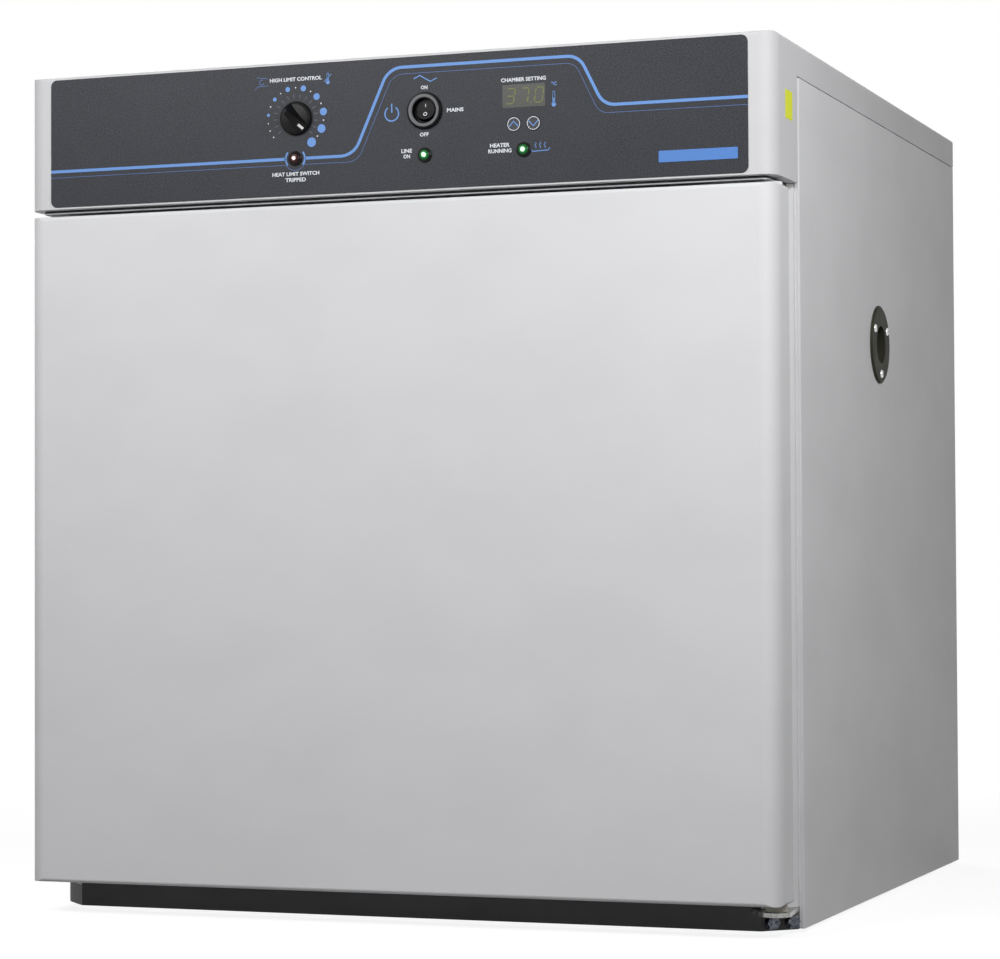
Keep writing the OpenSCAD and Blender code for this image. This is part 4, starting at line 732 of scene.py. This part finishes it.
blue = bmesh.new()
edge, height = stripe["top"][0]
ribbon(blue, [(edge, height), (alarmAt[0] - stripe["gap"], height)], stripe["wide"], **ink)
ribbon(blue, [(alarmAt[0] + stripe["gap"], height)] + roundedPath(stripe["top"], stripe["corners"])[1:],
       stripe["wide"], **ink)
for start in (142, -38):
    ribbon(blue, arc(*alarmAt, stripe["gap"], start, start + stripe["sweep"], 14), stripe["bracket"], **ink)
for points, line in blueMarks:
    ribbon(blue, points, line, **ink)
for i in range(3):
    u = wave["left"] + wave["apart"] * i
    ribbon(blue, [(u + wave["sway"] * math.sin(t * wave["turn"]), wave["low"] + t * wave["rise"])
                  for t in range(7)], wave["line"], **ink)
thermometer(blue, 146.9, 664.6, 8.6)
thermometer(blue, -50.5, 694.2, 5.6, 0.9)
letters(blue, "°C", 147.2, 680.2, 3.0, 4.6, **ink)
setPiece("overlayBluePrint", blue, onPanel, "cabinet", blueInk)

white = bmesh.new()
for words, u, v, width in labels:
    letters(white, words, u, v, capHeight, width, **ink)
setPiece("overlayWhitePrint", white, onPanel, "cabinet", whiteInk)

dial = {  # ink, count, radius, first angle, step, first size, size step, flatness, corners
    "dialBlueDots": (blueInk, 8, 25.2, 171.7, -32.5, 2.7, 0.74, 1.0, 28),
    "dialWhiteDots": (whiteInk, 7, 25.2, 155.45, -32.5, 1.2, 0.0, 1.0, 12),
    "dialStartDots": (whiteInk, 3, 25.2, 187.7, 14.5, 1.2, 0.0, 1.0, 12),
    "dialTicks": (tickInk, 16, 18.4, 216.7, -17.33, 5.6, 0.0, 0.1, 4)}
roundKnob = facing("front", knobAt[0] * mm, overlayY, knobAt[1] * mm)
for name, (inkUsed, count, radius, first, step, size, grow, flat, corners) in dial.items():
    marks = growMesh(dialTree(inkUsed), [(0, 0, 0)], [], {
        "Count": count, "Radius": radius, "First Angle": math.radians(first),
        "Angle Step": math.radians(step), "First Size": size, "Size Step": grow, "Flatness": flat,
        "Corners": corners})
    setGrown(name, marks, roundKnob, "cabinet", inkUsed)

display = {"left": 102.7, "middle": 672, "height": 13, "wide": 7.5, "stroke": 1.0, "slant": 8, "gap": 0.65,
           "digits": ((7.3, "3"), (19.2, "7"), (31.7, "0")), "pointAt": 24.6, "pointUp": 0.6, "point": 0.65}
segments = {  # from, to in units of half the width and half the height
    "a": ((-1, 1), (1, 1)), "b": ((1, 1), (1, 0)), "c": ((1, 0), (1, -1)), "d": ((1, -1), (-1, -1)),
    "e": ((-1, -1), (-1, 0)), "f": ((-1, 0), (-1, 1)), "g": ((-1, 0), (1, 0))}
shapes = {"3": "abgcd", "7": "abc", "0": "abcdef"}
digits = bmesh.new()
slant = math.tan(math.radians(display["slant"]))
halfWide = (display["wide"] - display["stroke"]) / 2
halfTall = (display["height"] - display["stroke"]) / 2
for across, digit in display["digits"]:
    origin = Vector((display["left"] + across, display["middle"]))
    for part in shapes[digit]:
        start, end = (Vector((su * halfWide + sv * halfTall * slant, sv * halfTall))
                      for su, sv in segments[part])
        along = (end - start).normalized() * display["gap"]
        ribbon(digits, [tuple(origin + start + along), tuple(origin + end - along)],
               display["stroke"], **ink)
dot(digits, display["point"], display["left"] + display["pointAt"],
    display["middle"] - display["height"] / 2 + display["pointUp"], 12)
setPiece("displayDigits", digits, onPanel, "cabinet", digitLight)
print("overlay printed")


# Key marks, lamp domes, rocker marks

keyMark = {"ring": 5.15, "ringLine": 0.5, "half": 3.9, "foot": 1.9, "tip": 2.3, "line": 0.9}
for key, way in (("up_key", 1), ("down_key", -1)):
    low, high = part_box("up_button" if way > 0 else "down_button")
    face = facing("front", (low[0] + high[0]) / 2, low[1], (low[2] + high[2]) / 2)
    ring = bmesh.new()
    ribbon(ring, arc(0, 0, keyMark["ring"], 0, 352.5, 47), keyMark["ringLine"], **ink, closed=True)
    setPiece(key.replace("_key", "KeyRing"), ring, face, key, whiteInk)
    arrow = bmesh.new()
    ribbon(arrow, [(-keyMark["half"], -keyMark["foot"] * way), (0, keyMark["tip"] * way),
                   (keyMark["half"], -keyMark["foot"] * way)], keyMark["line"], **ink)
    setPiece(key.replace("_key", "KeyArrow"), arrow, face, key, blueInk)

dome = {"stem": 2.7, "neck": 0.15, "flare": (4.3, 1.2), "radius": 4.85, "base": 1.5, "rise": 2.0}
redLight = ("#FFF4F0", "#3A100C", "#140403", 1.2, 0.7)  # core, ring, edge, core size in mm, glow
greenLight = ("#D6F7DB", "#15702D", "#06240D", 1.7, 0.6)
for name, node, slotName, light in (
        ("alarmDome", "alarm_lens", "red_lens", redLight),
        ("powerDome", "power_lens", "green_lens", greenLight),
        ("heatingDome", "heating_lens", "green_lens", greenLight)):
    low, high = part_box(node)
    centre = ((low[0] + high[0]) / 2, overlayY, (low[2] + high[2]) / 2)
    depth = (high[1] - overlayY) / mm
    profile = [(0, -depth), (dome["stem"], -depth), (dome["stem"], dome["neck"]), dome["flare"],
               (dome["radius"], dome["base"])]
    profile += [(dome["radius"] * math.cos(math.radians(a)),
                 dome["base"] + dome["rise"] * math.sin(math.radians(a))) for a in range(9, 90, 9)]
    lens = bmesh.new()
    turned(lens, profile + [(0, dome["base"] + dome["rise"])])
    setPiece(name, lens, facing("front", *centre), "cabinet",
             litLens(name + " tinted acrylic", centre, *light), (node,), 35)

rocker = {  # its face slopes up both ways from a valley across the middle
    "middle": (35.5, -323.3, 664.5), "tilt": -9, "valley": 3.6, "slope": math.atan(2 / 12),
    "bar": (2.8, 5.2), "ringAt": -3.3, "ring": 1.4, "line": 0.6}
lean = Matrix.Rotation(math.radians(rocker["tilt"]), 4, "X")
for name, way in (("rockerOnMark", 1), ("rockerOffMark", -1)):
    cosine, sine = math.cos(rocker["slope"]), math.sin(rocker["slope"]) * way
    half = Matrix(((1, 0, 0), (0, -sine, cosine), (0, -cosine, -sine))).transposed().to_4x4()
    place = (Matrix.Translation(Vector(rocker["middle"]) * mm) @ lean
             @ Matrix.Translation((0, -rocker["valley"] * mm, 0)) @ half @ Matrix.Scale(mm, 4))
    mark = bmesh.new()
    if way > 0:
        ribbon(mark, [(0, v) for v in rocker["bar"]], rocker["line"], **ink)
    else:
        ribbon(mark, arc(0, rocker["ringAt"], rocker["ring"], 0, 345, 23), rocker["line"], **ink,
               closed=True)
    setPiece(name, mark, place, "rocker", whiteInk)
print("keys, lamps and rocker dressed")


# Plain plates where the printed ones were

def roundedPlate(one):
    # a flat plate with round corners, drawn about its own middle
    u, v = one["wide"] / 2 - one["radius"], one["high"] / 2 - one["radius"]
    outline = []
    for right, up, start in ((u, v, 0), (-u, v, 90), (-u, -v, 180), (u, -v, 270)):
        outline += arc(right, up, one["radius"], start, start + 90, 6)
    drawn = bmesh.new()
    slab(drawn, outline, one["sunk"], one["thick"])
    return drawn


namePlate = {"across": 267.15, "up": 616.6, "wide": 64.9, "high": 9.2, "radius": 0.8, "sunk": -0.05,
             "thick": 0.35}
setPiece("plainBluePlate", roundedPlate(namePlate),
         facing("front", namePlate["across"] * mm, overlayY, namePlate["up"] * mm),
         "cabinet", plateBlue)
sticker = {"side": 330, "deep": -287.4, "up": 658.2, "wide": 21.8, "high": 23.0, "radius": 0.6,
           "sunk": -0.02, "thick": 0.12}
setPiece("plainYellowSticker", roundedPlate(sticker),
         facing("right", sticker["side"] * mm, sticker["deep"] * mm, sticker["up"] * mm),
         "cabinet", stickerYellow)


# Thin strips, bent round both front corners of the frame

cornerTrims = {  # plan path, lower and upper edge
    "frameReturnTrim": {  # painted return beside the lower hinge, down to the hinge plate
        "path": [(302.09, -285.39), (326.13, -261.35), (326.13, -256.6)], "low": 20.7, "high": 34.5,
        "slot": "painted_sheet"},
    "frameCornerStrip": {  # zinc strip over the gap under the cover, beside the upper hinge
        "path": [(321.4, -266.08), (326.13, -261.35), (326.13, -256.6)], "low": 596.05, "high": 598.7,
        "slot": "zinc_plate"},
}
trimThick = 0.26
for name, one in cornerTrims.items():
    trim = bmesh.new()
    for side in (1, -1):
        ribbon(trim, [(side * u, v) for u, v in one["path"]], trimThick, one["low"], one["high"])
    setPiece(name, trim, facing("up"), "cabinet", finishes[one["slot"]])


# Screws with cross recesses

portMiddle, portScrewRing = (18.7, 488), 26
screws = {
    "portScrews": {
        "side": "right", "at": 332, "node": "port_screws", "slot": "polished_steel", "head": 3.6,
        "tall": 1.8, "shank": 1.5, "long": 5.0,
        "points": [(portMiddle[0] + portScrewRing * math.cos(math.radians(a)),
                    portMiddle[1] + portScrewRing * math.sin(math.radians(a))) for a in (30, 150, 270)]},
    "coverScrews": {
        "side": "back", "at": 343.7, "node": "cover_screws", "slot": "zinc_bolt", "head": 4.0,
        "tall": 1.8, "shank": 2.0, "long": 4.8, "points": [(-x, 693.5) for x in (-260, -91, 91, 260)]},
    "inletScrews": {
        "side": "back", "at": 343.7, "node": "inlet_screws", "slot": "polished_steel", "head": 3.0,
        "tall": 1.8, "shank": 1.5, "long": 6.0, "points": [(216, 99), (256, 99)]},
}
for name, one in screws.items():
    spot = {"right": (one["at"] * mm, 0, 0), "back": (0, one["at"] * mm, 0)}[one["side"]]
    finish = finishes[one["slot"]]
    heads = growMesh(screwTree(finish), [(u, v, 0) for u, v in one["points"]], [], {
        "Head Radius": one["head"], "Head Height": one["tall"], "Shank Radius": one["shank"],
        "Shank Length": one["long"]})
    setGrown(name, heads, facing(one["side"], *spot), "cabinet", finish, (one["node"],), 40)


# The door's magnetic gasket, swept round its path

low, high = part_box("door_gasket")
gasket = {"width": 14.0, "height": (high[1] - low[1]) / mm, "corner": 14}
halfU = (high[0] - low[0]) / 2 / mm - gasket["width"] / 2
halfV = (high[2] - low[2]) / 2 / mm - gasket["width"] / 2
loop = []
for u, v, start in ((1, 1, 0), (-1, 1, 90), (-1, -1, 180), (1, -1, 270)):
    loop += [(x, y, 0) for x, y in arc(u * (halfU - gasket["corner"]), v * (halfV - gasket["corner"]),
                                       gasket["corner"], start, start + 90, 10)]
seal = growMesh(gasketTree(finishes["gasket"]), loop, [(i, (i + 1) % len(loop)) for i in range(len(loop))], {
    "Section Width": gasket["width"], "Section Height": gasket["height"]})
setGrown("doorBellowsGasket", seal,
         facing("back", (low[0] + high[0]) / 2, (low[1] + high[1]) / 2, (low[2] + high[2]) / 2),
         "door", finishes["gasket"], ("door_gasket",), 50)
print("screws, plates and gasket set")

size = {"cad": cadBox, "visual": [list(corner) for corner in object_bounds()]}
